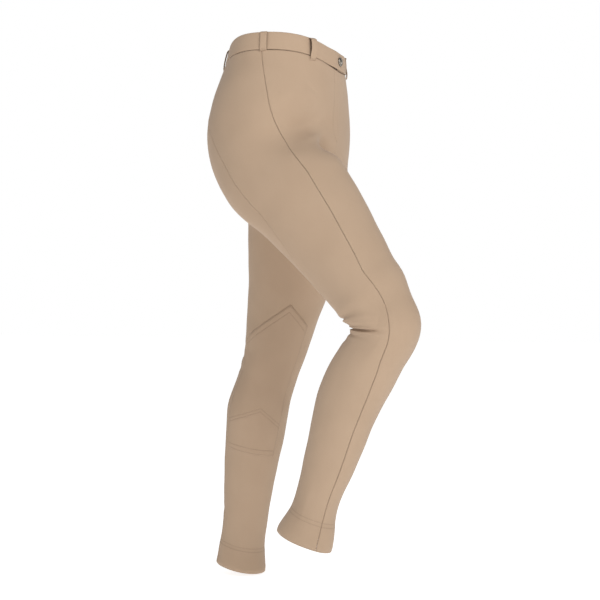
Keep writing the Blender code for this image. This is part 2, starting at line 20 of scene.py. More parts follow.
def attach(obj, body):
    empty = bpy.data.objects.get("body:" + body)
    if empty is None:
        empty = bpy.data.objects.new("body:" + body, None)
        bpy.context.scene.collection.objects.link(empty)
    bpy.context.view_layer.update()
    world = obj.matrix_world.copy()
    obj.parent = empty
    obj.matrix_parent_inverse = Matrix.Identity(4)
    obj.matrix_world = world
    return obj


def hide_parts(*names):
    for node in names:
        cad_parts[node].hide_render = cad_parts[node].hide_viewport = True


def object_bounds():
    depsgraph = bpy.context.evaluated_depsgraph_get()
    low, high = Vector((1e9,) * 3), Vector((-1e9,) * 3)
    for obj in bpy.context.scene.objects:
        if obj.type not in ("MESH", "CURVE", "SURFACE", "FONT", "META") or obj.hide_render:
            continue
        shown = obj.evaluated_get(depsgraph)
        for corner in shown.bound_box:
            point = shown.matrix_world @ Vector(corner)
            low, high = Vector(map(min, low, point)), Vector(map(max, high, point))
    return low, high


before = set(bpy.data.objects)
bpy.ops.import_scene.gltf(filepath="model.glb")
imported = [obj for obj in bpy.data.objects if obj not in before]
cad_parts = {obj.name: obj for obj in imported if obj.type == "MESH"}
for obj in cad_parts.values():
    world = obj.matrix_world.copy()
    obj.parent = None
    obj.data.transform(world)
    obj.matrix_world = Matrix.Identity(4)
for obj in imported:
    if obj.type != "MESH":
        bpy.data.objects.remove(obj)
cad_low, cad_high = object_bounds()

print("solid model", [round(v, 3) for v in cad_high - cad_low])

# %% [markdown]
# ## Camera, floor and light
# The garment is seen from its right side, a little forward of square on, with a level camera and a
# long lens. It stands in a white room: a bright backdrop, a dimmer room on the viewer's side, one
# broad soft light from the front right and a weaker one from behind, so that the front is lightest
# and the back and the inner thigh are darkest. The floor is a plain pale sheet just under the hems.
#
# Cloth this smooth is read by its shading alone, and a room that is white all round would wash that
# out. So the world is bright only where the camera looks, and dim where the cloth is lit from.

# %% Camera
VIEW_AZIMUTH = -65.0  # degrees round from straight in front, toward the wearer's right
VIEW_DISTANCE = 2.6
VIEW_TARGET = Vector((0.0129, -0.0276, -0.474))  # the camera looks at this place
LENS = 84.3  # millimetres


def toward(azimuth, elevation=0.0):
    """The direction from the garment to a viewer at this azimuth and elevation, in degrees."""
    around, up = math.radians(azimuth), math.radians(elevation)
    flat = math.cos(up)
    return Vector((math.sin(around) * flat, -math.cos(around) * flat, math.sin(up)))


camera_data = bpy.data.cameras.new("camera")
camera_data.lens = LENS
camera = bpy.data.objects.new("camera", camera_data)
camera.location = VIEW_TARGET + toward(VIEW_AZIMUTH) * VIEW_DISTANCE
camera.rotation_euler = (-toward(VIEW_AZIMUTH)).to_track_quat("-Z", "Y").to_euler()
bpy.context.scene.collection.objects.link(camera)
bpy.context.scene.camera = camera
bpy.context.scene.view_settings.view_transform = "Standard"
print("camera at", [round(v, 2) for v in camera.location])

# %% Light and floor
BACKDROP, ROOM = 1.0, 0.24  # how bright the room is behind the garment and on the viewer's side
BACKDROP_EDGE = (0.55, 0.90)  # it brightens between these, 1 being straight behind the garment
LIGHTS = (  # name, azimuth, elevation, distance, size, watts
    ("key", -42.0, 34.0, 2.6, 1.2, 36.0),
    ("back_light", -125.0, 20.0, 2.8, 2.0, 7.0),
)
FLOOR_DROP = 0.004  # it lies this far under the lower hem
FLOOR_SIZE = 30.0
FLOOR_PALE, FLOOR_GLOW = 0.80, 0.80  # a lit white floor, so that it meets the backdrop unseen

world = bpy.data.worlds.new("white_room")
world.use_nodes = True
room = world.node_tree
looking = room.nodes.new("ShaderNodeTexCoord").outputs["Generated"]
facing_backdrop = room.nodes.new("ShaderNodeVectorMath")
facing_backdrop.operation = "DOT_PRODUCT"
facing_backdrop.inputs[1].default_value = -toward(VIEW_AZIMUTH)
room.links.new(looking, facing_backdrop.inputs[0])
brightness = room.nodes.new("ShaderNodeMapRange")
for number, value in enumerate((*BACKDROP_EDGE, ROOM, BACKDROP), start=1):
    brightness.inputs[number].default_value = value
room.links.new(facing_backdrop.outputs["Value"], brightness.inputs[0])
room.nodes["Background"].inputs["Color"].default_value = (1.0, 1.0, 1.0, 1.0)
room.links.new(brightness.outputs[0], room.nodes["Background"].inputs["Strength"])
bpy.context.scene.world = world

for name, azimuth, elevation, distance, size, watts in LIGHTS:
    lamp = bpy.data.lights.new(name, "AREA")
    lamp.size = size
    lamp.energy = watts
    holder = bpy.data.objects.new(name, lamp)
    direction = toward(azimuth, elevation)
    holder.location = VIEW_TARGET + direction * distance
    holder.rotation_euler = direction.to_track_quat("Z", "Y").to_euler()
    bpy.context.scene.collection.objects.link(holder)

floor_mesh = bpy.data.meshes.new("floor")
half = FLOOR_SIZE * 0.5
level = cad_low.z - FLOOR_DROP
corners = [(-half, -half, level), (half, -half, level), (half, half, level), (-half, half, level)]
floor_mesh.from_pydata(corners, [], [(0, 1, 2, 3)])
floor = bpy.data.objects.new("floor", floor_mesh)
floor_paint = bpy.data.materials.new("pale_floor")
floor_paint.use_nodes = True
floor_shader = floor_paint.node_tree.nodes["Principled BSDF"]
floor_shader.inputs["Base Color"].default_value = (FLOOR_PALE, FLOOR_PALE, FLOOR_PALE, 1.0)
floor_shader.inputs["Roughness"].default_value = 1.0
floor_shader.inputs["Specular IOR Level"].default_value = 0.0
floor_shader.inputs["Emission Color"].default_value = (1.0, 1.0, 1.0, 1.0)
floor_shader.inputs["Emission Strength"].default_value = FLOOR_GLOW
floor_mesh.materials.append(floor_paint)
bpy.context.scene.collection.objects.link(floor)
print("floor at", round(level, 3))

# %% [markdown]
# ## The form
# A pattern cutter works from a block: the shape of the figure standing straight. It could be
# sculpted, or draped by a cloth simulation, but neither leaves sizes that can be read afterwards.
# Here the block is a coarse cage of quads, rings of points round the hips and round each leg, which
# a subdivision surface rounds off. Its rows are body measurements, so each can be changed.

# %% Measurements of the block
RIGHT, LEFT = -1, 1
HALF_COLUMNS = 8  # gaps from centre front to centre back
FORM_LEVEL = 3  # subdivisions
FRONT_DROP = 0.016  # the waist dips this far in front
BACK_DROP = 0.018  # and this far behind
SIDE_LEAN = 0.010  # and sits this much lower at the centre than on its right, twice it on its left
BAND_SQUARE = 0.92  # under 1 is squarer than an ellipse
PELVIS_FIELDS = ("height", "half_width", "front", "back", "drop", "square", "back_square")
PELVIS = (
    (0.018, 0.1230, 0.1115, 0.0930, 1.0, BAND_SQUARE, 1.08),
    (-0.012, 0.1270, 0.1125, 0.1005, 1.0, BAND_SQUARE, 1.08),
    (-0.042, 0.1320, 0.1132, 0.1085, 1.0, BAND_SQUARE, 1.02),
    (-0.075, 0.1450, 0.1140, 0.1190, 0.8, 0.92, 0.96),
    (-0.125, 0.1600, 0.1140, 0.1280, 0.35, 0.92, 0.92),
    (-0.175, 0.1680, 0.1130, 0.1290, 0.0, 0.92, 0.92),
    (-0.222, 0.1720, 0.1070, 0.1260, 0.0, 0.96, 0.96),
)
CROTCH = (  # back, height
    (-0.045, -0.256),
    (0.010, -0.268),
    (0.062, -0.256),
)
CROTCH_HALF_WIDTH = 0.012  # of the strip of cloth that joins the legs
FIRST_COLUMN = -24.0  # degrees from the front of a leg to its first column
LEG_FIELDS = ("height", "middle_out", "middle_back", "front", "back", "outer", "inner")
LEG = (
    (-0.290, 0.0960, 0.006, 0.1190, 0.1030, 0.0800, 0.0850),
    (-0.345, 0.0960, 0.002, 0.1120, 0.0950, 0.0780, 0.0810),
    (-0.415, 0.0950, -0.002, 0.0960, 0.0860, 0.0730, 0.0740),
    (-0.490, 0.0935, -0.001, 0.0780, 0.0750, 0.0660, 0.0660),
    (-0.550, 0.0925, 0.001, 0.0720, 0.0680, 0.0620, 0.0620),
    (-0.600, 0.0910, 0.004, 0.0730, 0.0640, 0.0600, 0.0600),
    (-0.650, 0.0895, 0.008, 0.0690, 0.0620, 0.0580, 0.0580),
    (-0.715, 0.0885, 0.012, 0.0620, 0.0640, 0.0560, 0.0560),
    (-0.800, 0.0870, 0.011, 0.0560, 0.0590, 0.0500, 0.0500),
    (-0.880, 0.0860, 0.005, 0.0480, 0.0490, 0.0430, 0.0430),
    (-0.960, 0.0850, -0.002, 0.0430, 0.0460, 0.0410, 0.0410),
    (-1.018, 0.0850, -0.006, 0.0490, 0.0530, 0.0440, 0.0440),
)
HEM_EDGE = LEG[-1][0]


def rows(fields, table):
    """The table's rows, each a dict by column name."""
    return [dict(zip(fields, row)) for row in table]


print(len(PELVIS), "rings round the hips and", len(LEG), "round each leg")


# %% [markdown]
# Round the hips a ring is a squared ellipse whose front, back and sides have their own sizes, and
# it dips in front and behind as a waist does. Round a leg it is an egg shape, with its own reach to
# the front, the back, the outside and the inside.

# %% Points of the rings
def squared(value, power):
    """The value raised to a power, its sign kept; a power under 1 fills out an ellipse's corners."""
    return np.copysign(np.abs(value) ** power, value)


def waist_drop(angle):
    """How far the waist dips at an angle from the front."""
    along_front = np.cos(angle)
    return np.where(along_front > 0.0, FRONT_DROP * along_front**4, BACK_DROP * along_front**2)


def pelvis_point(row, angle, side):
    """A point of one half's ring, angle 0 in front and pi behind."""
    square = row["square"] if math.cos(angle) > 0.0 else row["back_square"]
    across = float(squared(math.sin(angle), square)) * row["half_width"]
    ahead = float(squared(math.cos(angle), square))
    ahead *= row["front"] if ahead > 0.0 else row["back"]
    drop = float(waist_drop(angle)) + SIDE_LEAN * (1.0 + side * across / row["half_width"])
    return Vector((side * across, -ahead, row["height"] - row["drop"] * drop))


def leg_point(row, angle, side):
    """A point of a leg's section, angle 0 in front and pi/2 on the outer side."""
    outward = math.sin(angle)
    outward *= row["outer"] if outward > 0.0 else row["inner"]
    ahead = math.cos(angle)
    ahead *= row["front"] if ahead > 0.0 else row["back"]
    return Vector((side * (row["middle_out"] + outward), row["middle_back"] - ahead, row["height"]))


print("waist", round(2.0 * PELVIS[0][1], 3), "wide and", round(PELVIS[0][2] + PELVIS[0][3], 3), "deep")


# %% [markdown]
# The rings are joined by quads. At the crotch the last ring divides: a short strip of quads runs
# from front to back between the legs, and each leg's first ring takes in half of the last one and
# one edge of the strip. The mesh stays all quads, so the subdivision surface has no pinches.

# %% The cage
def straight_cage():
    """The whole garment's cage standing straight: rings round the hips, then two legs."""
    cage = bmesh.new()
    step = math.pi / HALF_COLUMNS
    around = 2 * HALF_COLUMNS
    rings = []
    for row in rows(PELVIS_FIELDS, PELVIS):
        right = [pelvis_point(row, k * step, RIGHT) for k in range(HALF_COLUMNS + 1)]
        left = [pelvis_point(row, k * step, LEFT) for k in range(HALF_COLUMNS - 1, 0, -1)]
        rings.append([cage.verts.new(point) for point in right + left])
    for upper, lower in zip(rings, rings[1:]):
        for k in range(around):
            after = (k + 1) % around
            cage.faces.new((upper[k], lower[k], lower[after], upper[after]))
    last = rings[-1]
    middle = [last[0]]
    middle += [cage.verts.new((0.0, back, height)) for back, height in CROTCH]
    middle.append(last[HALF_COLUMNS])
    for side in (RIGHT, LEFT):
        upper = [last[k if side == RIGHT else (around - k) % around] for k in range(1, HALF_COLUMNS)]
        strip = [cage.verts.new((side * CROTCH_HALF_WIDTH, v.co.y, v.co.z)) for v in middle[1:-1]]
        edge = [upper[0]] + strip + [upper[-1]]
        for k in range(len(edge) - 1):
            quad = (middle[k], middle[k + 1], edge[k + 1], edge[k])
            cage.faces.new(quad if side == LEFT else quad[::-1])
        upper = upper + strip[::-1]
        count = len(upper)
        for row in rows(LEG_FIELDS, LEG):
            angles = [math.radians(FIRST_COLUMN) + k * 2.0 * math.pi / count for k in range(count)]
            lower = [cage.verts.new(leg_point(row, angle, side)) for angle in angles]
            for k in range(count):
                after = (k + 1) % count
                quad = (upper[k], lower[k], lower[after], upper[after])
                cage.faces.new(quad if side == RIGHT else quad[::-1])
            upper = lower
    bmesh.ops.recalc_face_normals(cage, faces=cage.faces)
    return cage


cage = straight_cage()
print("cage of", len(cage.faces), "quads")

# %% [markdown]
# ## The form as plain arrays
# The smooth form is read into numpy arrays: places, the way the cloth faces, which sewn lines a
# point lies on, and triangles. Arrays make it quick to cut and to shape a mesh of this size.


# %% Smooth form
class Cloth:
    """Triangles of cloth: places, the way each point faces, the sewn lines it is on, triangles."""

    def __init__(self, co, facing, mark, tri):
        self.co, self.facing, self.mark, self.tri = co, facing, mark, tri


def unit(vectors):
    """The same directions, each one metre long."""
    return vectors / np.maximum(np.linalg.norm(vectors, axis=1, keepdims=True), 1e-12)


def point_normals(co, tri):
    """The way the surface faces at each point, as the mean of the triangles round it."""
    a, b, c = co[tri[:, 0]], co[tri[:, 1]], co[tri[:, 2]]
    face = np.cross(b - a, c - a)
    normal = np.zeros_like(co)
    for k in range(3):
        np.add.at(normal, tri[:, k], face)
    return unit(normal)


def smooth_form(cage, level):
    """The cage's smooth form of this many subdivisions, as Cloth."""
    mesh = bpy.data.meshes.new("form")
    cage.to_mesh(mesh)
    holder = bpy.data.objects.new("form", mesh)
    bpy.context.scene.collection.objects.link(holder)
    smooth = holder.modifiers.new("smooth", "SUBSURF")
    smooth.levels = level
    smooth.render_levels = level
    graph = bpy.context.evaluated_depsgraph_get()
    made = bpy.data.meshes.new_from_object(holder.evaluated_get(graph))
    co = np.empty(len(made.vertices) * 3)
    made.vertices.foreach_get("co", co)
    made.calc_loop_triangles()
    tri = np.empty(len(made.loop_triangles) * 3, np.int64)
    made.loop_triangles.foreach_get("vertices", tri)
    bpy.data.objects.remove(holder)
    for old in (made, mesh):
        bpy.data.meshes.remove(old)
    co, tri = co.reshape(-1, 3), tri.reshape(-1, 3)
    return Cloth(co, point_normals(co, tri), np.zeros(len(co), np.int64), tri)


form = smooth_form(cage, FORM_LEVEL)
cage.free()
print("smooth form of", len(form.tri), "triangles")

# %% [markdown]
# ## Where things are on a leg
# Every seam and patch is placed as on a pattern: by its height and its angle round the leg, 0 in
# front, 90 on the outer side, 180 behind and 270 inside. Both are measured on the straight form, so
# a place keeps its meaning however the leg is bent later.

# %% Angles and heights
LEG_HEIGHTS = [row[0] for row in LEG][::-1]
LEG_OUT = [row[1] for row in LEG][::-1]
LEG_BACK = [row[2] for row in LEG][::-1]


def from_leg_middle(points):
    """How far out and how far ahead of its leg's middle each point is."""
    out = np.abs(points[:, 0]) - np.interp(points[:, 2], LEG_HEIGHTS, LEG_OUT)
    ahead = np.interp(points[:, 2], LEG_HEIGHTS, LEG_BACK) - points[:, 1]
    return out, ahead


def leg_angle(points):
    """Degrees round the leg, from its front toward its outer side."""
    out, ahead = from_leg_middle(points)
    return np.degrees(np.arctan2(out, ahead)) % 360.0


def leg_radius(points):
    """How far each point is from its leg's middle."""
    return np.hypot(*from_leg_middle(points))


def turned_from(angle, other):
    """Degrees from the other angle, between -180 and 180."""
    return (angle - other + 180.0) % 360.0 - 180.0


def side_of(points):
    """RIGHT or LEFT for each point."""
    return np.where(points[:, 0] < 0.0, RIGHT, LEFT)


def ease(value, start, end):
    """0 before the start, 1 past the end, and smooth between them."""
    share = np.clip((value - start) / (end - start), 0.0, 1.0)
    return share * share * (3.0 - 2.0 * share)


print("legs from", LEG_HEIGHTS[-1], "down to", LEG_HEIGHTS[0])


# %% [markdown]
# ## Seams
# Jodhpurs have a front and a back panel on each leg. The side seam runs down the outside and
# swings forward under the knee; the riding seam starts at centre back and winds inward down
# the calf, so that nothing is sewn where the leg presses the saddle.
#
# A seam could be painted on as a dark line, but then the cloth would not dip into it or end at it.
# Here each seam is a smooth curve through a few heights and angles, and a function tells how far
# any point lies from it. The same function cuts the mesh, shapes the dip and lays the painted shade.

# %% Seam lines
SIDE_SEAM = (  # height, angle
    (0.030, 53.0),
    (-0.060, 51.5),
    (-0.120, 47.0),
    (-0.165, 39.0),
    (-0.200, 32.6),
    (-0.230, 31.6),
    (-0.270, 37.5),
    (-0.320, 44.0),
    (-0.410, 49.5),
    (-0.490, 54.5),
    (-0.560, 61.5),
    (-0.600, 59.5),
    (-0.640, 47.5),
    (-0.690, 39.0),
    (-0.780, 37.0),
    (-0.870, 37.5),
    (-0.940, 41.0),
    (-1.030, 42.0),
)
BACK_SEAM = (
    (-0.100, 262.0),
    (-0.118, 230.0),
    (-0.134, 196.0),
    (-0.156, 165.0),
    (-0.186, 143.0),
    (-0.225, 128.0),
    (-0.270, 126.0),
    (-0.315, 131.0),
    (-0.370, 136.0),
    (-0.430, 146.0),
    (-0.520, 166.0),
    (-0.620, 183.0),
    (-0.750, 191.0),
    (-1.030, 192.0),
)
BACK_SEAM_TOP = -0.080
BAND_HEIGHT = 0.032
SEAM_GAP = 0.0003  # between two pieces sewn together
PROBE = 0.001  # how far apart a slope is measured


def along(table, height):
    """The angle that a seam's table gives at each height, on a smooth curve through its rows."""
    heights, angles = (np.array(column)[::-1] for column in zip(*table))
    slope = np.empty_like(angles)
    slope[1:-1] = (angles[2:] - angles[:-2]) / (heights[2:] - heights[:-2])
    slope[0] = (angles[1] - angles[0]) / (heights[1] - heights[0])
    slope[-1] = (angles[-1] - angles[-2]) / (heights[-1] - heights[-2])
    height = np.clip(height, heights[0], heights[-1])
    i = np.clip(np.searchsorted(heights, height) - 1, 0, len(heights) - 2)
    run = heights[i + 1] - heights[i]
    t = (height - heights[i]) / run
    return (
        angles[i] * (2 * t**3 - 3 * t**2 + 1)
        + slope[i] * run * (t**3 - 2 * t**2 + t)
        + angles[i + 1] * (3 * t**2 - 2 * t**3)
        + slope[i + 1] * run * (t**3 - t**2)
    )


def from_seam(table):
    """A function of how far points lie from a seam, in metres, past it counted positive."""

    def offset(points):
        height, radius = points[:, 2], leg_radius(points)
        arc = np.radians(turned_from(leg_angle(points), along(table, height))) * radius
        lean = np.radians(along(table, height + PROBE) - along(table, height - PROBE)) / (2.0 * PROBE)
        return arc / np.hypot(1.0, lean * radius)

    return offset


def ring_angle(points):
    """Radians round the waist, 0 in front and positive toward the wearer's right."""
    return np.arctan2(-points[:, 0], -points[:, 1])


def band_height(angle, level):
    """The height of a level of the band, which dips in front and leans to the left."""
    lean = SIDE_LEAN * (1.0 - squared(np.sin(angle), BAND_SQUARE))
    return level - waist_drop(angle) - lean


def everywhere(points):
    """The region of a line that runs all the way."""
    return np.full(len(points), True)


def below_waist(points):
    """The region of the riding seam, which starts under the band."""
    return points[:, 2] < BACK_SEAM_TOP


CENTRE, WAIST, SIDE, BACK, PATCH, STITCHED = 1, 2, 4, 8, 16, 32
SEAMS = {  # how far from the seam, and where it runs
    CENTRE: (lambda points: points[:, 0], everywhere),
    WAIST: (lambda points: points[:, 2] - band_height(ring_angle(points), -BAND_HEIGHT), everywhere),
    SIDE: (from_seam(SIDE_SEAM), everywhere),
    BACK: (from_seam(BACK_SEAM), below_waist),
}
print(len(SEAMS), "seams, mirrored left and right")

# %% [markdown]
# ## Patches, hems and fly
# The inner knees carry a patch of the same cloth with a pointed top, two pointed rows of
# stitching across it and a double row along its lower edge. The hems are turned up and sewn with a
# double row, and the fly shows one row that curves in at its foot. All of these are lines on the
# form too: the cloth is cut and drawn in along them, and the stitches are laid on them later. So
# each is told in the same way as a seam, as how far off it a point lies and where it counts.

# %% Patch and stitched lines
PATCH_APEX = (284.0, -0.477)  # angle and height of the point of its top edge
PATCH_SLOPE = 0.0010  # metres down for each degree away from the point
PATCH_FRONT, PATCH_BACK = 324.0, 204.0
PATCH_BOTTOM = -0.779
PATCH_RANGE, PATCH_SWEEP = (-0.440, -0.820), (180.0, 350.0)  # heights and angles that hold all of it
PATCH_REACH = 0.001  # a line on the patch runs this far past its edge
EDGE_ROW = 0.0020  # a row of stitches lies this far inside an edge
HEM_ROWS = (-0.9690, -0.9755)
CHEVRONS = (  # angle and height of the point, metres down for each degree
    (284.0, -0.4800, 0.0010),
    (284.0, -0.4915, 0.0010),
    (270.0, -0.6860, 0.00056),
    (270.0, -0.6925, 0.00056),
)
PATCH_ROWS = (PATCH_BOTTOM + 0.0022, PATCH_BOTTOM + 0.0110)  # the double row over its lower edge
FLY_ROW = (  # across, height: from the band down and in to the centre seam
    (-0.0150, -0.040),
    (-0.0165, -0.090),
    (-0.0185, -0.130),
    (-0.0200, -0.155),
    (-0.0165, -0.172),
    (-0.0070, -0.184),
    (0.0000, -0.187),
)
FLY_FOOT = FLY_ROW[-1][1]
FLY_MARGIN = 0.02  # the row is looked for this far below its foot


def from_chevron(angle, height, slope):
    """How far points lie above a pointed line across the patch, square to the line."""

    def offset(points):
        steep = slope / np.maximum(np.radians(1.0) * leg_radius(points), 1e-6)
        rise = points[:, 2] - height + slope * np.abs(turned_from(leg_angle(points), angle))
        return rise / np.hypot(1.0, steep)

    return offset


def from_level(height):
    """A function of how far points lie above a height."""
    return lambda points: points[:, 2] - height


def from_angle(angle, inset=0.0):
    """A function of how far round the leg points lie from an upright line."""
    return lambda points: np.radians(turned_from(leg_angle(points), angle)) * leg_radius(points) + inset


def near_patch(points):
    """Whether each point is on the part of the leg that holds the patch."""
    angle, height = leg_angle(points), points[:, 2]
    at_height = (PATCH_RANGE[1] < height) & (height < PATCH_RANGE[0])
    return at_height & (PATCH_SWEEP[0] < angle) & (angle < PATCH_SWEEP[1])


from_patch_top = from_chevron(*PATCH_APEX, PATCH_SLOPE)
from_patch_bottom = from_level(PATCH_BOTTOM)
PATCH_EDGES = (from_patch_top, from_patch_bottom, from_angle(PATCH_FRONT), from_angle(PATCH_BACK))


def inside_patch(points):
    """How far inside the patch's outline each point lies, negative outside it."""
    top, bottom, front, back = (edge(points) for edge in PATCH_EDGES)
    depth = np.minimum(np.minimum(-top, bottom), np.minimum(-front, back))
    return np.where(near_patch(points), depth, -1.0)


def on_patch(points):
    """The region of the patch's own rows of stitches."""
    return inside_patch(points) > -PATCH_REACH


PATCH_LINES = [(from_chevron(*chevron), on_patch) for chevron in CHEVRONS]
PATCH_LINES += [(from_level(height), on_patch) for height in PATCH_ROWS]
for edge, inset in ((PATCH_FRONT, EDGE_ROW), (PATCH_BACK, -EDGE_ROW)):
    PATCH_LINES.append((from_angle(edge, inset), on_patch))
HEM_LINES = [(from_level(height), everywhere) for height in HEM_ROWS]


def from_fly(points):
    """How far front points lie from the fly's row of stitches, and 1 elsewhere."""
    place = points[:, [0, 2]]
    best = np.full(len(points), 1.0)
    for start, end in zip(FLY_ROW, FLY_ROW[1:]):
        start, run = np.array(start), np.subtract(end, start)
        share = np.clip((place - start) @ run / (run @ run), 0.0, 1.0)
        best = np.minimum(best, np.linalg.norm(place - start - share[:, None] * run, axis=1))
    in_front = (points[:, 1] < 0.0) & (points[:, 2] > FLY_FOOT - FLY_MARGIN)
    return np.where(in_front, best, 1.0)


print(len(PATCH_LINES), "stitched lines on each patch,", len(HEM_LINES), "on each hem")

# %% [markdown]
# ## Creases
# Stretch cotton lies smooth where it is filled and breaks into creases only where a joint folds it.
# The bent knee gathers one deep crease with smaller ones beside it, in the hollow behind; the groin
# and hip show soft drag lines that point at the lifted thigh.
#
# A cloth simulation finds creases of its own, and rarely the ones that are wanted. These are placed
# one by one: each is a line between two places on a leg, with how deep it is, how wide, and where
# along it the crease is deepest. Broad folds are told apart from them, as soft patches.

# %% Folds and creases
FOLD_FIELDS = ("side", "height", "rise", "angle", "spread", "depth", "width")
FOLDS = (  # broad hollows, and swellings where the depth is below 0
    # the lifted thigh, slimmer in front
    (RIGHT, -0.350, 0.000, 5.0, 80.0, 0.0040, 0.050),
    (RIGHT, -0.485, 0.000, 0.0, 110.0, -0.0020, 0.030),
    # the bent knee: cloth gathered behind, drawn flat in front
    (RIGHT, -0.565, 0.000, 165.0, 100.0, -0.0080, 0.022),
    (RIGHT, -0.580, 0.000, 10.0, 90.0, 0.0125, 0.026),
    (RIGHT, -0.600, 0.010, 150.0, 75.0, -0.0100, 0.014),
    (RIGHT, -0.650, 0.000, 160.0, 100.0, 0.0100, 0.032),
    # its shin and calf
    (RIGHT, -0.690, 0.000, 350.0, 110.0, -0.0055, 0.070),
    (RIGHT, -0.690, 0.000, 170.0, 110.0, 0.0060, 0.040),
    # its ankle and hem
    (RIGHT, -0.940, 0.000, 0.0, 100.0, 0.0080, 0.045),
    (RIGHT, -1.018, 0.000, 170.0, 110.0, -0.0110, 0.035),
    # the straight leg's knee, calf and hem
    (LEFT, -0.590, 0.012, 180.0, 60.0, 0.0015, 0.012),
    (LEFT, -0.630, 0.000, 345.0, 110.0, 0.0130, 0.080),
    (LEFT, -0.700, 0.000, 200.0, 100.0, -0.0060, 0.050),
    (LEFT, -1.018, 0.000, 320.0, 90.0, -0.0050, 0.040),
)
CREASE_FIELDS = ("side", "angle", "height", "to_angle", "to_height", "bow", "depth", "width", "peak")
CREASES = (  # troughs, and ridges where the depth is below 0; the angles may run below 0
    # behind the bent knee
    (RIGHT, 250.0, -0.620, 48.0, -0.6225, -0.0060, 0.0072, 0.0022, 0.70),
    (RIGHT, 235.0, -0.6030, 60.0, -0.6080, 0.0030, 0.0010, 0.0036, 0.62),
    (RIGHT, 215.0, -0.6330, 80.0, -0.6300, -0.0020, 0.0012, 0.0022, 0.70),
    (RIGHT, 240.0, -0.6460, 62.0, -0.6395, 0.0000, 0.0016, 0.0034, 0.60),
    (RIGHT, 225.0, -0.6640, 88.0, -0.6560, 0.0000, 0.0007, 0.0050, 0.50),
    (RIGHT, 225.0, -0.5700, 95.0, -0.5850, 0.0000, 0.0008, 0.0060, 0.50),
    # behind the straight knee
    (LEFT, 240.0, -0.6040, 120.0, -0.5980, 0.0020, 0.0010, 0.0045, 0.50),
    (LEFT, 235.0, -0.6240, 130.0, -0.6200, -0.0020, 0.0008, 0.0045, 0.50),
    (LEFT, 225.0, -0.5780, 135.0, -0.5740, 0.0010, 0.0006, 0.0050, 0.50),
    # soft drag lines over the calves
    (RIGHT, 130.0, -0.8300, 84.0, -0.8220, 0.0000, 0.0007, 0.0045, 0.50),
    (RIGHT, 150.0, -0.8860, 84.0, -0.8705, 0.0000, 0.0008, 0.0050, 0.50),
    (RIGHT, 290.0, -0.8700, 225.0, -0.8820, 0.0000, 0.0007, 0.0050, 0.50),
    (LEFT, 150.0, -0.8620, 92.0, -0.8700, 0.0000, 0.0007, 0.0050, 0.50),
    (LEFT, 230.0, -0.9100, 150.0, -0.9040, 0.0000, 0.0007, 0.0050, 0.50),
    # from the groin toward the lifted thigh, and at the hip
    (RIGHT, 345.0, -0.1500, 327.0, -0.2120, 0.0000, -0.0008, 0.0080, 0.50),
    (RIGHT, 5.0, -0.0840, -19.0, -0.1140, 0.0000, 0.0006, 0.0040, 0.50),
    (LEFT, 330.0, -0.1850, 350.0, -0.1520, 0.0000, 0.0006, 0.0060, 0.50),
    # the cloth bridges the hollow between the belly and the lifted thigh
    (RIGHT, 32.0, -0.2680, -38.0, -0.1900, 0.0000, -0.0110, 0.0200, 0.50),
    # under the seat of the leg that is behind
    (LEFT, 215.0, -0.2900, 150.0, -0.2740, 0.0040, 0.0010, 0.0080, 0.50),
    (RIGHT, 215.0, -0.2760, 165.0, -0.2560, 0.0040, 0.0007, 0.0080, 0.50),
)
RIDGE = 0.35  # how much of a crease's depth the cloth rises beside it
RIDGE_OFFSET = 2.2  # and how many widths away
SHARP = 0.0045  # creases narrower than this need finer cloth
LEAST_RADIUS = 0.03  # of a leg, where its angles are turned into lengths


def crease_frame(crease, points):
    """How far along a crease each point is, from 0 to 1, and how far off its line."""
    radius = np.maximum(leg_radius(points), LEAST_RADIUS)
    middle = 0.5 * (crease["angle"] + crease["to_angle"])
    across = np.radians(turned_from(leg_angle(points), middle)) * radius
    half_turn = np.radians(0.5 * (crease["to_angle"] - crease["angle"])) * radius
    share = across / half_turn
    height = 0.5 * (crease["height"] + crease["to_height"])
    height = height + 0.5 * (crease["to_height"] - crease["height"]) * share
    height = height + crease["bow"] * (1.0 - share * share)
    lean = 0.5 * (crease["to_height"] - crease["height"]) / half_turn
    off = (points[:, 2] - height) / np.hypot(1.0, lean)
    return 0.5 + 0.5 * share, np.where(side_of(points) == crease["side"], off, 1.0)


def crease_depth(points):
    """How far the creases draw each point in."""
    depth = np.zeros(len(points))
    for crease in rows(CREASE_FIELDS, CREASES):
        share, off = crease_frame(crease, points)
        strength = ease(share, 0.0, crease["peak"]) * ease(1.0 - share, 0.0, 1.0 - crease["peak"])
        place = np.abs(off) / crease["width"]
        trough = np.exp(-(place**1.5))
        ridge = RIDGE * np.exp(-((place - RIDGE_OFFSET) ** 2))
        depth += crease["depth"] * strength * (trough - ridge)
    return depth


def fold_depth(points):
    """How far the broad folds draw each point in."""
    angle, depth = leg_angle(points), np.zeros(len(points))
    for fold in rows(FOLD_FIELDS, FOLDS):
        turn = turned_from(angle, fold["angle"]) / fold["spread"]
        rise = (points[:, 2] - fold["height"] - fold["rise"] * turn) / fold["width"]
        here = (side_of(points) == fold["side"]) & (np.abs(turn) < 1.0)
        depth += np.where(here, fold["depth"] * (1.0 - turn * turn) * np.exp(-rise * rise), 0.0)
    return depth


def from_sharp_creases(points):
    """How far each point lies from the nearest narrow crease."""
    best = np.full(len(points), 1.0)
    for crease in rows(CREASE_FIELDS, CREASES):
        if crease["width"] < SHARP:
            share, off = crease_frame(crease, points)
            inside = (0.0 < share) & (share < 1.0)
            best = np.minimum(best, np.where(inside, np.abs(off), 1.0))
    return best


print(len(CREASES), "creases")

# %% [markdown]
# ## Cutting the cloth
# The form is cut along every line above, so that an edge of the mesh runs exactly along each seam
# and each row of stitches. A point that is already close to the line slides onto it instead, which
# leaves no slivers. A new point on an edge is bulged out by the arc between the ways the two ends
# face, so that a finer mesh is also a rounder one.

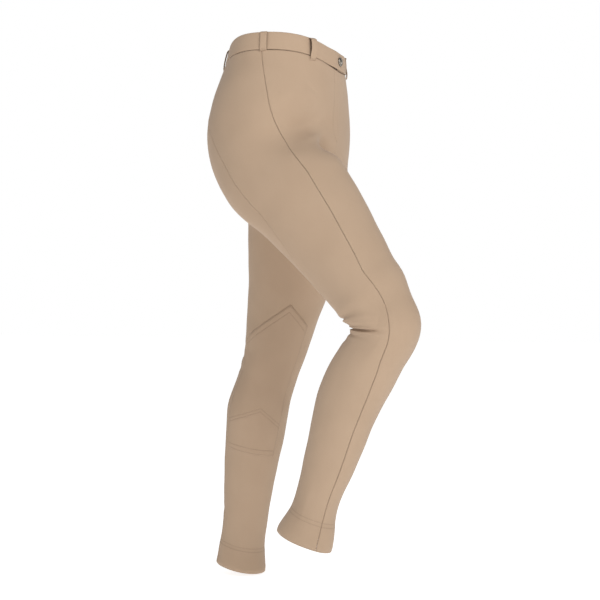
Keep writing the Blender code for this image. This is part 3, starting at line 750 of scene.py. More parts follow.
# %% Splitting edges
SNAP_SHARE = 0.2  # a point slides onto a line that is within this share of its edge
WRAP = 0.18  # offsets further apart than this lie on both sides of the leg, not of the line
HALVINGS = 24  # steps of the search for where an edge meets a line
MOST_BULGE = 0.3  # the most that the cloth turns over one edge, in radians
ROUNDS = 5  # of halving the edges, at most


def edges_of(tri, count):
    """Each edge once, and the numbers of the three edges of every triangle."""
    pairs = np.sort(tri[:, [[0, 1], [1, 2], [2, 0]]].reshape(-1, 2), axis=1)
    keys, number = np.unique(pairs[:, 0] * count + pairs[:, 1], return_inverse=True)
    return np.stack((keys // count, keys % count), 1), number.reshape(-1, 3)


def between(cloth, a, b, share):
    """Place and facing at a share of the way from a to b, on the round of the cloth."""
    share = share[:, None]
    facing = unit(cloth.facing[a] * (1.0 - share) + cloth.facing[b] * share)
    chord = cloth.co[b] - cloth.co[a]
    bend = np.sum(chord * (cloth.facing[b] - cloth.facing[a]), axis=1, keepdims=True)
    most = MOST_BULGE * np.linalg.norm(chord, axis=1, keepdims=True)
    bend = np.clip(bend, -most, most)
    return cloth.co[a] + chord * share + facing * bend * share * (1.0 - share) * 0.5, facing


def split(cloth, edges, of_tri, chosen, share, mark):
    """Put a new point on each chosen edge, and divide the triangles beside it."""
    a, b = edges[chosen].T
    co, facing = between(cloth, a, b, share)
    number = np.full(len(edges), -1)
    number[chosen] = len(cloth.co) + np.arange(len(a))
    cloth.co = np.vstack((cloth.co, co))
    cloth.facing = np.vstack((cloth.facing, facing))
    cloth.mark = np.append(cloth.mark, (cloth.mark[a] & cloth.mark[b]) | mark)
    new = number[of_tri]
    count = (new >= 0).sum(axis=1)
    made = [cloth.tri[count == 0]]
    whole = count == 3
    (a, b, c), (p, q, r) = cloth.tri[whole].T, new[whole].T
    made += [np.stack(corner, 1) for corner in ((a, p, r), (p, b, q), (r, q, c), (p, q, r))]
    for k in range(3):
        order = [k, (k + 1) % 3, (k + 2) % 3]
        tri, on = cloth.tri[:, order], new[:, order]
        one = (count == 1) & (on[:, 0] >= 0)
        (a, b, c), p = tri[one].T, on[one, 0]
        made += [np.stack((a, p, c), 1), np.stack((p, b, c), 1)]
        two = (count == 2) & (on[:, 1] < 0)
        (a, b, c), p, r = tri[two].T, on[two, 0], on[two, 2]
        shorter = np.linalg.norm(cloth.co[p] - cloth.co[c], axis=1)
        shorter = shorter < np.linalg.norm(cloth.co[b] - cloth.co[r], axis=1)
        made.append(np.stack((a, p, r), 1))
        made.append(np.stack((p, b, np.where(shorter, c, r)), 1))
        made.append(np.stack((np.where(shorter, p, b), c, r), 1))
    cloth.tri = np.concatenate(made)


print("uncut form of", len(edges_of(form.tri, len(form.co))[0]), "edges")


# %% [markdown]
# Where an edge of the mesh meets a line is found by halving: the middle of the edge is on one side
# of the line or the other, and the half that crosses it is kept. That works for any line at all, as
# long as its function changes sign there.

# %% Cutting along a line
def crossing(start, end, offset):
    """The share of the way from start to end at which the offset is zero."""
    low, high = np.zeros(len(start)), np.ones(len(start))
    sign = offset(start) > 0.0
    for _ in range(HALVINGS):
        middle = 0.5 * (low + high)
        same = (offset(start + (end - start) * middle[:, None]) > 0.0) == sign
        low, high = np.where(same, middle, low), np.where(same, high, middle)
    return 0.5 * (low + high)


def cut(cloth, mark, offset, region):
    """Cut the cloth where the offset is zero, and mark the points that lie on the line."""
    value, allowed = offset(cloth.co), region(cloth.co)

    def crossed():
        edges, of_tri = edges_of(cloth.tri, len(cloth.co))
        a, b = edges.T
        met = (value[a] * value[b] < 0.0) & (np.abs(value[a] - value[b]) < WRAP)
        chosen = met & allowed[a] & allowed[b]
        a, b = edges[chosen].T
        return edges, of_tri, chosen, a, b, crossing(cloth.co[a], cloth.co[b], offset)

    _, _, _, a, b, share = crossed()
    near, far = np.where(share < 0.5, a, b), np.where(share < 0.5, b, a)
    reach = np.minimum(share, 1.0 - share)
    free = ((cloth.mark[near] & cloth.mark[far]) == cloth.mark[near]) & (reach < SNAP_SHARE)
    order = np.flatnonzero(free)[np.argsort(-reach[free])]
    near, far, reach = near[order], far[order], reach[order]
    cloth.co[near], cloth.facing[near] = between(cloth, near, far, reach)
    cloth.mark[near] |= mark
    value[near] = 0.0
    edges, of_tri, chosen, _, _, share = crossed()
    split(cloth, edges, of_tri, chosen, share, mark)


def refine(cloth, distance, reach, longest):
    """Halve the edges longer than this that lie within reach of what distance measures."""
    for _ in range(ROUNDS):
        edges, of_tri = edges_of(cloth.tri, len(cloth.co))
        start, end = cloth.co[edges[:, 0]], cloth.co[edges[:, 1]]
        chosen = np.linalg.norm(end - start, axis=1) > longest
        half = 0.5 * np.linalg.norm(end - start, axis=1)
        chosen[chosen] = distance(0.5 * (start[chosen] + end[chosen])) < reach + half[chosen]
        if not chosen.any():
            return
        split(cloth, edges, of_tri, chosen, np.full(chosen.sum(), 0.5), 0)


# %% [markdown]
# The seams are cut first, then the patches' outlines, then the rows of stitches. Last, the mesh is
# made finer beside each line and each narrow crease, where the relief is small and sharp, and is
# left coarse elsewhere, which keeps each panel far under the size that an export can hold.

# %% Cut and refine the form
FINE_REACH, FINE_EDGE = 0.0030, 0.0018  # how near a sewn line the cloth is fine, and its longest edge
CREASE_REACH, CREASE_EDGE = 0.0090, 0.0022  # the same beside a narrow crease


def nearest_line(points):
    """How far each point lies from the nearest sewn line."""
    best = np.minimum(from_fly(points), np.abs(inside_patch(points)))
    for offset, region in list(SEAMS.values()) + PATCH_LINES + HEM_LINES:
        best = np.minimum(best, np.where(region(points), np.abs(offset(points)), 1.0))
    return best


form.mark[np.abs(form.co[:, 0]) < 1e-6] = CENTRE
for mark in (SIDE, BACK, WAIST):
    cut(form, mark, *SEAMS[mark])
for edge in PATCH_EDGES:
    cut(form, PATCH, edge, near_patch)
for offset, region in PATCH_LINES + HEM_LINES:
    cut(form, STITCHED, offset, region)
refine(form, from_sharp_creases, CREASE_REACH, CREASE_EDGE)
refine(form, nearest_line, FINE_REACH, FINE_EDGE)
print("cut form of", len(form.tri), "triangles")

# %% [markdown]
# ## Relief
# A seam is never a bare line. The two panels dip into it, and the allowance behind is pressed to
# one side and lifts the cloth there a little. Rows of stitches draw the cloth in, and a turned-up
# hem is a layer thicker. A bump in the material would show some of this, but not at an outline and
# not in the mesh. So all of it is one height field over the block, added along the cloth's facing.

# %% Height field
SEAM_DIP, SEAM_DIP_WIDTH = 0.0006, 0.0009
WELT, WELT_WIDTH = 0.00045, (0.0060, 0.0090)  # the allowance lifts the cloth up to here
WELT_SIDE = {SIDE: -1.0, BACK: -1.0, CENTRE: -1.0}  # which side of the seam it is pressed to
WELT_REACH = 0.02  # no welt lies further off, where a seam is only passed on the leg's other side
WAIST_DIP, WAIST_DIP_WIDTH = 0.0009, 0.0014
ROW_DIP, ROW_DIP_WIDTH = 0.00035, 0.0008
HEM_FOLD = -0.972  # the turned-up edge inside the hem
HEM_LIFT, HEM_STEP = 0.0003, 0.004  # how far the hem stands out below it, and over what height
EDGE_ROUND, EDGE_ROUND_WIDTH = 0.0009, 0.0016
WAVE = 0.00035  # slow unevenness of the filled cloth
WAVES = (  # turns round the leg, radians for each metre up, start on the left leg, share
    (3.0, 41.0, 1.0, 1.0),
    (5.0, -67.0, 2.0, 0.7),
    (2.0, 113.0, -1.0, 0.5),
)
CENTRE_CALM = 0.05  # the waves fade out this near the centre line


def dip(distance, depth, width):
    """A soft trough: the whole depth on the line, and almost nothing two widths away."""
    return depth * np.exp(-((distance / width) ** 2))


def waves(points):
    """Slow, slight unevenness, as waves that never line up."""
    angle, height, side = np.radians(leg_angle(points)), points[:, 2], side_of(points)
    total = np.zeros(len(points))
    for turns, climb, start, share in WAVES:
        total += share * np.sin(turns * angle + climb * height + start * side)
    return WAVE * total * ease(np.abs(points[:, 0]), 0.0, CENTRE_CALM)


def relief(points):
    """How far the cloth's face stands off the block."""
    lift = waves(points) - fold_depth(points) - crease_depth(points)
    for mark, (offset, region) in SEAMS.items():
        distance = np.where(region(points), offset(points), 1.0)
        if mark == WAIST:
            lift -= dip(distance, WAIST_DIP, WAIST_DIP_WIDTH)
            continue
        lift -= dip(distance, SEAM_DIP, SEAM_DIP_WIDTH)
        pressed = distance * WELT_SIDE[mark]
        welt = WELT * (1.0 - ease(pressed, *WELT_WIDTH))
        lift += np.where((pressed >= 0.0) & (np.abs(distance) < WELT_REACH), welt, 0.0)
    for offset, _ in HEM_LINES:
        lift -= dip(offset(points), ROW_DIP, ROW_DIP_WIDTH)
    lift -= dip(from_fly(points), ROW_DIP, ROW_DIP_WIDTH)
    height = points[:, 2]
    lift += HEM_LIFT * ease(-height, -HEM_FOLD, -HEM_FOLD + HEM_STEP)
    return lift - EDGE_ROUND * (1.0 - ease(height, HEM_EDGE, HEM_EDGE + EDGE_ROUND_WIDTH))


def patch_relief(points):
    """How far a patch's face stands off the cloth under it, less its thickness."""
    lift = -EDGE_ROUND * (1.0 - ease(inside_patch(points), 0.0, EDGE_ROUND_WIDTH))
    for offset, _ in PATCH_LINES:
        lift -= dip(offset(points), ROW_DIP, ROW_DIP_WIDTH)
    return lift


# %% [markdown]
# ## Putting the form in stride
# The block stands straight, and the wearer strides: the right knee is lifted and bent, the left leg
# stands behind and turns out. An armature could bend the mesh, but its weights would have to be
# painted. Every point is turned about its own knee and then its hip instead, by an angle that
# eases in over the bend, so that the cloth bends as a body does and never tears.

# %% The pose
POSE_FIELDS = ("hip", "knee", "turn", "spread")
POSE = {RIGHT: (39.3, 60.4, 4.0, 5.0), LEFT: (-10.6, 2.5, 22.0, 4.0)}  # degrees
HIP = (0.088, 0.010, -0.200)
HIP_BEND = (-0.105, -0.340)  # the heights between which each bend eases in
CROTCH_BEND = (-0.250, -0.320)
CROTCH_REACH = 0.060  # the legs part over this width from the centre line
KNEE = (0.091, 0.000, -0.598)
KNEE_BEND = (-0.523, -0.675)
TURN = (-0.200, -0.500)
PLANES = {"X": (1, 2), "Y": (2, 0), "Z": (0, 1)}  # the two axes that a turn about each one moves


def turned(points, pivot, axis, angle):
    """Points turned about an axis through their pivots, each by its own angle in radians."""
    first, second = PLANES[axis]
    moved = points - pivot
    across, up = moved[:, first].copy(), moved[:, second].copy()
    moved[:, first] = across * np.cos(angle) - up * np.sin(angle)
    moved[:, second] = across * np.sin(angle) + up * np.cos(angle)
    return moved + pivot


def worn(points):
    """Where points of the straight form go when the garment is worn in stride."""
    side = side_of(points)
    pose = {
        name: np.radians(np.where(side == RIGHT, right, left))
        for name, right, left in zip(POSE_FIELDS, POSE[RIGHT], POSE[LEFT])
    }
    knee, hip = (np.tile(joint, (len(side), 1)) for joint in (KNEE, HIP))
    knee[:, 0] *= side
    hip[:, 0] *= side

    def bent(bend):
        return ease(-points[:, 2], -bend[0], -bend[1])

    place = turned(points, knee, "X", pose["knee"] * bent(KNEE_BEND))
    aside = ease(np.abs(points[:, 0]), 0.0, CROTCH_REACH)
    aside = aside + (1.0 - aside) * bent(CROTCH_BEND)
    share = aside * bent(HIP_BEND)
    place = turned(place, hip, "Z", pose["turn"] * side * aside * bent(TURN))
    place = turned(place, hip, "X", -pose["hip"] * share)
    return turned(place, hip, "Y", -pose["spread"] * share * side)


def dressed(points, facing, lift=0.0):
    """Points of the straight form with their relief, put in stride."""
    height = relief(points) + lift
    return worn(points + facing * height[:, None])


worn_facing = point_normals(dressed(form.co, form.facing), form.tri)
print("stride set")

# %% [markdown]
# ## Finishes
# The cloth is a matt stretch cotton with a brushed face. Under a lens it has fine upright ribs and
# a faint nap, and seen from afar it is even, so its colour only drifts slightly. Painted shade
# darkens each seam, where the groove would lie in shadow. The ribs follow the cloth through its UV map,
# which is laid out in metres round and along the leg, and the nap reads the object's own coordinates.
# A few short helpers make the nodes, so that each finish reads as a list of what is mixed with what.

# %% Node helpers
def new_material(name, roughness, metallic=0.0):
    """A material with its node tree and its Principled shader."""
    made = bpy.data.materials.new(name)
    made.use_nodes = True
    shader = made.node_tree.nodes["Principled BSDF"]
    shader.inputs["Roughness"].default_value = roughness
    shader.inputs["Metallic"].default_value = metallic
    return made, made.node_tree, shader


def add_node(tree, kind, settings=(), inputs=()):
    """A node of this kind, with its settings and its input values given."""
    node = tree.nodes.new(kind)
    for name, value in dict(settings).items():
        setattr(node, name, value)
    for name, value in dict(inputs).items():
        node.inputs[name].default_value = value
    return node


def blended(tree, factor, first, second):
    """A colour that goes from the first to the second as the factor goes from 0 to 1."""
    mix = add_node(tree, "ShaderNodeMix", {"data_type": "RGBA"})
    colour_inputs = [socket for socket in mix.inputs if socket.type == "RGBA"]
    tree.links.new(factor, mix.inputs[0])
    for socket, colour in zip(colour_inputs, (first, second)):
        if isinstance(colour, bpy.types.NodeSocket):
            tree.links.new(colour, socket)
        else:
            socket.default_value = (*colour, 1.0)
    return next(socket for socket in mix.outputs if socket.type == "RGBA")


def ranged(tree, value, low, high, to_low=0.0, to_high=1.0):
    """The value moved from one range into another."""
    node = add_node(tree, "ShaderNodeMapRange", inputs={1: low, 2: high, 3: to_low, 4: to_high})
    tree.links.new(value, node.inputs[0])
    return node.outputs[0]


def noise(tree, coordinates, scale, detail=2.0):
    """Soft random clouds between 0 and 1."""
    node = add_node(tree, "ShaderNodeTexNoise", inputs={"Scale": scale, "Detail": detail})
    tree.links.new(coordinates, node.inputs["Vector"])
    return node.outputs[0]


# %% [markdown]
# Brushed cotton scatters light from tiny loose ends. It could be given real fur, at a great cost for
# fibres too short to see. A high roughness with a little sheen gives the same soft edge, and a very
# small bump breaks up the highlight. The painted shade comes from an attribute that the mesh carries.

# %% Brushed stretch cotton
RIB_PITCH = 0.0009
BAND_AT_SCALE_ONE = 0.31416  # metres between the bands of a wave texture whose scale is 1
DRIFT_SCALE, NAP_SCALE, FUZZ_SCALE = 14.0, 900.0, 1500.0  # of the noises, for each metre
NAP_SHARE = 0.35  # how much the nap adds to the drift of the colour, at most
BUMP_DEPTH = 0.00015
SEAM_SHADE = 0.45  # the colour of the painted shade inside a seam, as a share of the dark colour


def brushed_cotton(name, light, dark, rib_turn=0.0):
    """Matt stretch cotton: a faint nap, fine ribs along the leg, and painted shade inside the seams."""
    made, tree, shader = new_material(name, 0.92)
    shader.inputs["Specular IOR Level"].default_value = 0.18
    shader.inputs["Sheen Weight"].default_value = 0.12
    shader.inputs["Sheen Roughness"].default_value = 0.5
    place = add_node(tree, "ShaderNodeTexCoord").outputs["Object"]
    drift = ranged(tree, noise(tree, place, DRIFT_SCALE), 0.3, 0.7)
    nap = ranged(tree, noise(tree, place, NAP_SCALE, 3.0), 0.3, 0.7, -NAP_SHARE, NAP_SHARE)
    total = add_node(tree, "ShaderNodeMath", {"operation": "ADD", "use_clamp": True})
    tree.links.new(drift, total.inputs[0])
    tree.links.new(nap, total.inputs[1])
    colour = blended(tree, total.outputs[0], dark, light)
    # painted shade: the worn attribute darkens the colour in the seams, along rows of stitches, along the
    # band's foot and under the loops
    seam = add_node(tree, "ShaderNodeAttribute", {"attribute_name": "worn"}).outputs["Fac"]
    shade = tuple(channel * SEAM_SHADE for channel in dark)
    tree.links.new(blended(tree, seam, colour, shade), shader.inputs["Base Color"])
    cloth_map = add_node(tree, "ShaderNodeUVMap", {"uv_map": "cloth"}).outputs[0]
    turn = add_node(tree, "ShaderNodeMapping", inputs={"Rotation": (0.0, 0.0, rib_turn)})
    tree.links.new(cloth_map, turn.inputs["Vector"])
    ribs = add_node(tree, "ShaderNodeTexWave", {"wave_type": "BANDS", "bands_direction": "X"})
    ribs.inputs["Scale"].default_value = BAND_AT_SCALE_ONE / RIB_PITCH
    ribs.inputs["Distortion"].default_value = 0.6
    tree.links.new(turn.outputs[0], ribs.inputs["Vector"])
    height = add_node(tree, "ShaderNodeMath", {"operation": "ADD"})
    tree.links.new(ranged(tree, ribs.outputs["Fac"], 0.0, 1.0, 0.0, 0.5), height.inputs[0])
    tree.links.new(noise(tree, place, FUZZ_SCALE), height.inputs[1])
    bump = add_node(tree, "ShaderNodeBump", inputs={"Strength": 0.25, "Distance": BUMP_DEPTH})
    tree.links.new(height.outputs[0], bump.inputs["Height"])
    tree.links.new(bump.outputs[0], shader.inputs["Normal"])
    return made


CLOTH_LIGHT, CLOTH_DARK = (0.455, 0.328, 0.229), (0.436, 0.312, 0.216)
PATCH_LIGHT, PATCH_DARK = (0.446, 0.320, 0.223), (0.428, 0.305, 0.211)
cotton = brushed_cotton("brushed_cotton", CLOTH_LIGHT, CLOTH_DARK)
patch_cotton = brushed_cotton("patch_cotton", PATCH_LIGHT, PATCH_DARK, math.radians(4.0))
band_cotton = brushed_cotton("band_cotton", CLOTH_LIGHT, CLOTH_DARK, math.radians(90.0))
print("cloth finishes made")

# %% [markdown]
# ## Panels
# A panel is the part of the form between two seams. Since the mesh is already cut along every line,
# a panel is just a choice of triangles: those past one seam and short of the next. Each triangle is
# judged by those of its corners that are off the seam, as the ones on it belong to both sides.

# %% Which panel a triangle is in
def clear_of(cloth, mark):
    """A point of each triangle that is clear of one seam, to tell on which side it lies."""
    off = ((cloth.mark[cloth.tri] & mark) == 0).astype(float)
    off[off.sum(axis=1) == 0.0] = 1.0
    return np.einsum("tk,tkc->tc", off, cloth.co[cloth.tri]) / off.sum(axis=1, keepdims=True)


PANEL_MARGIN = 20.0  # degrees past the far seam that still count as between the two
by_side, by_back = clear_of(form, SIDE), clear_of(form, BACK)
seam_start, seam_end = along(SIDE_SEAM, by_side[:, 2]), along(BACK_SEAM, by_back[:, 2])
reach = (seam_end - seam_start) % 360.0 + PANEL_MARGIN
past_side = (leg_angle(by_side) - seam_start) % 360.0
short_of_back = (seam_end - leg_angle(by_back)) % 360.0
is_back = (past_side < reach) & (short_of_back < reach)
in_band = SEAMS[WAIST][0](clear_of(form, WAIST)) > 0.0
is_right = form.co[form.tri].mean(axis=1)[:, 0] < 0.0
in_patch = inside_patch(clear_of(form, PATCH)) > 0.0
PANELS = {
    "front_right": ~in_band & ~is_back & is_right,
    "front_left": ~in_band & ~is_back & ~is_right,
    "back_right": ~in_band & is_back & is_right,
    "back_left": ~in_band & is_back & ~is_right,
}
PATCHES = {"knee_patch_right": in_patch & is_right, "knee_patch_left": in_patch & ~is_right}
for name, member in {**PANELS, **PATCHES}.items():
    print(name, int(member.sum()), "triangles")

# %% [markdown]
# Each choice of triangles becomes a closed wall: an outer face, an inner face behind it along the
# way the cloth faces, and a strip that joins them round the edge. A Solidify modifier would do
# nearly that, but not the thickness of each place: the hem is doubled, and on the inside the
# allowances make the wall a little thicker along each seam.

# %% Closed walls
CLOTH_WALL, HEM_WALL, PATCH_WALL = 0.0016, 0.0028, 0.0012
INNER_ALLOWANCE = 0.0007  # a seam's allowances make the wall this much thicker inside
UV_RADIUS = 0.080  # the cloth's map is laid out as if every leg had this radius
GRADIENT_STEP = 0.0002
SHADE_WIDTH = 0.0006  # the painted shade reaches this far out of a seam
SEAM_PAINTED_SHADE = {CENTRE: 0.2, WAIST: 0.5, SIDE: 0.25, BACK: 0.0}  # how much of it each seam has
ROW_PAINTED_SHADE = 0.3  # and each row of stitches


def painted_seam_shade(points):
    """How much painted shade each point has, in the seams and along the rows of stitches."""
    shade = np.zeros(len(points))
    for mark, (offset, region) in SEAMS.items():
        distance = np.where(region(points), offset(points), 1.0)
        shade = np.maximum(shade, dip(distance, SEAM_PAINTED_SHADE[mark], SHADE_WIDTH))
    for offset, region in [*HEM_LINES, *PATCH_LINES, (from_fly, everywhere)]:
        distance = np.where(region(points), offset(points), 1.0)
        shade = np.maximum(shade, dip(distance, ROW_PAINTED_SHADE, SHADE_WIDTH))
    return shade


def as_mesh(name, points, triangles, shade, around, height, material):
    """A smooth-shaded object of these triangles, with its painted shade (its patina, on metal) and a map of
    the cloth in metres.
    """
    mesh = bpy.data.meshes.new(name)
    mesh.from_pydata(points.tolist(), [], triangles.tolist())
    # the worn attribute holds painted shade on cloth, and the darkness of the patina on metal
    mesh.attributes.new("worn", "FLOAT", "POINT").data.foreach_set("value", shade.astype(np.float32))
    around = np.radians(around)[triangles]
    around = around[:, :1] + (around - around[:, :1] + np.pi) % (2.0 * np.pi) - np.pi
    layout = np.stack((around * UV_RADIUS, height[triangles]), 2)
    mesh.uv_layers.new(name="cloth").uv.foreach_set("vector", layout.astype(np.float32).ravel())
    mesh.shade_smooth()
    mesh.materials.append(material)
    piece = bpy.data.objects.new(name, mesh)
    bpy.context.scene.collection.objects.link(piece)
    return piece


def closed_wall(tri, count):
    """Triangles of a wall: the face, its back, and the strip round its edge."""
    directed = tri[:, [[0, 1], [1, 2], [2, 0]]].reshape(-1, 2)
    key, back = directed[:, 0] * count + directed[:, 1], directed[:, 1] * count + directed[:, 0]
    a, b = directed[~np.isin(key, back)].T
    strip = (np.stack((b, a, a + count), 1), np.stack((b, a + count, b + count), 1))
    return np.concatenate((tri, tri[:, ::-1] + count, *strip))


def seam_shift(cloth, faces, used):
    """The move of each used point half a seam's gap into its own panel."""
    shift = np.zeros((len(used), 3))
    place, normal = cloth.co[used], cloth.facing[used]
    steps = np.eye(3) * GRADIENT_STEP
    for mark, (offset, _) in SEAMS.items():
        on_seam = (cloth.mark[used] & mark) > 0
        towards = np.zeros(len(cloth.co))
        for k in range(3):
            np.add.at(towards, cloth.tri[faces, k], offset(clear_of(cloth, mark)[faces]))
        slope = np.stack([offset(place + step) - offset(place - step) for step in steps], 1)
        slope = unit(slope - normal * np.sum(slope * normal, axis=1, keepdims=True))
        inward = np.sign(towards[used]) * on_seam * SEAM_GAP * 0.5
        shift += slope * inward[:, None]
    return shift


def make_wall(name, faces, lift, thickness, material, extra=None, seamed=False):
    """A closed sheet of cloth from the triangles chosen, its face lifted off the form."""
    used, local = np.unique(form.tri[faces], return_inverse=True)
    local = local.reshape(-1, 3)
    straight = form.co[used]
    place = straight + (seam_shift(form, faces, used) if seamed else 0.0)
    facing = worn_facing[used]
    base = dressed(place, form.facing[used])
    raised = lift + (extra(straight) if extra else 0.0) * np.ones(len(used))
    outer = base + facing * raised[:, None]
    inner = base + facing * (lift - thickness(straight))[:, None]
    # painted shade in the seams and along the rows of stitches
    shade = painted_seam_shade(straight)
    around, height = leg_angle(straight), straight[:, 2]
    return as_mesh(
        name, np.vstack((outer, inner)), closed_wall(local, len(used)),
        np.append(shade, shade), np.append(around, around), np.append(height, height), material)


def panel_thickness(points):
    """One layer of cloth, doubled in the hem and thicker where the allowances lie inside."""
    thickness = np.where(points[:, 2] < HEM_FOLD, HEM_WALL, CLOTH_WALL)
    for mark in (SIDE, BACK, CENTRE):
        offset, region = SEAMS[mark]
        distance = np.where(region(points), np.abs(offset(points)), 1.0)
        thickness = thickness + INNER_ALLOWANCE * (1.0 - ease(distance, *WELT_WIDTH))
    return thickness - EDGE_ROUND * (1.0 - ease(points[:, 2], HEM_EDGE, HEM_EDGE + EDGE_ROUND_WIDTH))


cloth_pieces = {}
for name, faces in PANELS.items():
    piece = make_wall(name + "_cloth", faces, 0.0, panel_thickness, cotton, seamed=True)
    cloth_pieces[name] = piece
    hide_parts(name)
    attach(piece, "root")
    print(piece.name, len(piece.data.polygons))

# %% [markdown]
# ## Knee patches
# A patch is a second layer of cloth, sewn on at its edge. It is made from the form's own triangles
# inside the patch's outline, lifted over the panel, so it follows every fold of the cloth below.

# %% Knee patches
for name, faces in PATCHES.items():
    piece = make_wall(
        name + "_cloth", faces, SEAM_GAP + PATCH_WALL, lambda points: np.full(len(points), PATCH_WALL),
        patch_cotton, extra=patch_relief)
    cloth_pieces[name] = piece
    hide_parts(name)
    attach(piece, "root")
    print(piece.name, len(piece.data.polygons))

# %% [markdown]
# ## Waistband
# The band is one strip of doubled, stiffened cloth. It starts at the tab on the wearer's left,
# crosses the front, runs round the back and ends under the tab again. A bevelled curve could carry
# its section, but would not know how the hips flare under it. Here each point of the section is
# found by looking outwards from the middle of the waist until the form is met, so the band follows
# the form's dip and lean by itself.

# %% Looking out at the form
surface = BVHTree.FromPolygons(form.co.tolist(), form.tri.tolist())


def met(start, direction):
    """Where a look from inside meets the form, the corners there, and the share of each."""
    place, _, number, _ = surface.ray_cast(Vector(start), Vector(direction))
    place, corners = np.array(place), form.tri[number]
    to_corners = form.co[corners] - place
    opposite = [np.cross(to_corners[(k + 1) % 3], to_corners[(k + 2) % 3]) for k in range(3)]
    share = np.linalg.norm(opposite, axis=1)
    return place, corners, share / share.sum()


def on_form(start, direction):
    """Where a look from inside meets the form, and the way the cloth faces there."""
    place, corners, share = met(start, direction)
    facing = share @ form.facing[corners]
    return place, facing / np.linalg.norm(facing)


def on_waist(degrees, level):
    """A place on the form this far round the waist and below the band's top, and its facing."""
    angle = math.radians(degrees)
    height = float(band_height(angle, level))
    return on_form((0.0, 0.0, height), (-math.sin(angle), -math.cos(angle), 0.0))


def loft(rings):
    """Points and triangles of a closed solid through rings of equal count."""
    rings = np.asarray(rings)
    count, around = rings.shape[:2]
    number = np.arange(count * around).reshape(count, around)
    after = np.roll(number, -1, axis=1)
    a, b, c, d = (grid.ravel() for grid in (number[:-1], after[:-1], after[1:], number[1:]))
    first, last = count * around, count * around + 1
    start = np.stack((np.full(around, first), after[0], number[0]), 1)
    end = np.stack((np.full(around, last), number[-1], after[-1]), 1)
    triangles = np.concatenate((np.stack((a, b, c), 1), np.stack((a, c, d), 1), start, end))
    points = np.vstack((rings.reshape(-1, 3), rings[0].mean(axis=0), rings[-1].mean(axis=0)))
    return points, triangles


def facing_out(points, triangles):
    """The same triangles, turned round where the solid they close would be inside out."""
    a, b, c = (points[triangles[:, k]] for k in range(3))
    volume = np.sum(a * np.cross(b, c))
    return triangles if volume > 0.0 else triangles[:, ::-1]


# %% [markdown]
# The places of the belt loops are settled before the band is made, because the band carries a painted
# shadow under each of them, and that painted shadow has to know where they are.

# %% Where the loops are
LOOP_WIDTH, LOOP_CLOTH = 0.012, 0.0016
LOOPS = {  # degrees round the band, stand as a share of the usual, level of the lower end
    "belt_loop_front_right": (39.0, 1.75, -0.0395),
    "belt_loop_side_right": (80.5, 0.8, -0.0345),
    "belt_loop_back_right": (145.0, 0.9, -0.0375),
    "belt_loop_back_left": (215.0, 0.9, -0.0375),
    "belt_loop_side_left": (279.0, 0.9, -0.0345),
    "belt_loop_front_left": (320.5, 0.3, -0.0390),
}
print(len(LOOPS), "places for loops")

# %% The band
BAND_PROUD = 0.0006  # its face stands this far off the form
BAND_CLOTH = 0.0024
BAND_PUFF = 0.0006  # the middle of the band stands this far over its edges
TAB_END, BAND_END = -15.0, 362.0  # degrees round the waist
TAB_RISE = (22.0, 6.0)  # the tab rises over the other end between these
TAB_ROUND = 0.0045  # radius of the corners of each end
BAND_STEPS = 260
BAND_ROWS, EDGE_ROWS = 9, 7  # points across each face and round each edge
BAND_RADIUS = 0.116
DEGREE = math.radians(1.0) * BAND_RADIUS  # metres round the waist
END_STEPS = (0.00002, 0.0002, 0.0005, 0.0010, 0.0016, 0.0024, 0.0034, 0.0045)  # sections near an end
END_LEFT = 0.00002  # a rounded end closes on this much
BAND_WAVE = 0.0002


def tab_lift(degrees):
    """How far the band stands off the form where it crosses over its other end."""
    over = ease(-degrees, -TAB_RISE[0], -TAB_RISE[1])
    return BAND_PROUD + over * (BAND_CLOTH + SEAM_GAP)


def rounded(distance, radius):
    """How far a corner of this radius has drawn in, at a distance from the end."""
    short = max(radius - distance, 0.0)
    return radius - math.sqrt(max(radius * radius - short * short, 0.0))


def band_section(from_end):
    """Levels and depths round one section, drawn in near an end of the strip."""
    middle = -0.5 * (BAND_HEIGHT - SEAM_GAP)
    half = -middle - rounded(from_end, TAB_ROUND)
    core = 0.5 * BAND_CLOTH
    radius = max(core - rounded(from_end, core), END_LEFT)
    face = np.linspace(radius - half, half - radius, BAND_ROWS)
    turn = np.linspace(0.0, math.pi, EDGE_ROWS + 2)[1:-1]
    puff = BAND_PUFF * (1.0 - (face / half) ** 2)
    edge = half - radius + radius * np.sin(turn)
    level = np.concatenate((face, edge, face[::-1], -edge))
    outer, inner = core - radius - puff, core + radius + puff[::-1] * 0.5
    depth = np.concatenate((outer, core - radius * np.cos(turn), inner, core + radius * np.cos(turn)))
    return middle + level, depth


def uneven(degrees):
    """Slow waves that keep the band from looking machined."""
    turn = math.radians(degrees)
    return BAND_WAVE * (math.sin(5.0 * turn + 1.0) + 0.7 * math.sin(11.0 * turn))


ends = np.array(END_STEPS) / DEGREE
stops = np.concatenate((
    TAB_END + ends, np.linspace(TAB_END + ends[-1], BAND_END - ends[-1], BAND_STEPS)[1:-1],
    BAND_END - ends[::-1]))
rings, around, height = [], [], []
for degrees in stops:
    levels, depths = band_section(min(degrees - TAB_END, BAND_END - degrees) * DEGREE)
    lift = tab_lift(degrees) + uneven(degrees)
    placed = [on_waist(degrees, level) for level in levels]
    rings.append([place + facing * (lift - depth) for (place, facing), depth in zip(placed, depths)])
    around.append(np.full(len(levels), degrees * BAND_RADIUS / UV_RADIUS))
    height.append(levels)
points, triangles = loft(rings)
triangles = facing_out(points, triangles)
around = np.append(np.concatenate(around), (stops[0], stops[-1]))
height = np.append(np.concatenate(height), (height[0].mean(), height[-1].mean()))
print("band's strip of", len(triangles), "triangles")

# %% [markdown]
# Inside, a thin strip of cloth covers the raw edges of the waist seam. It shows through the open
# waist, and it belongs to the band's cut, so it is part of the same mesh.

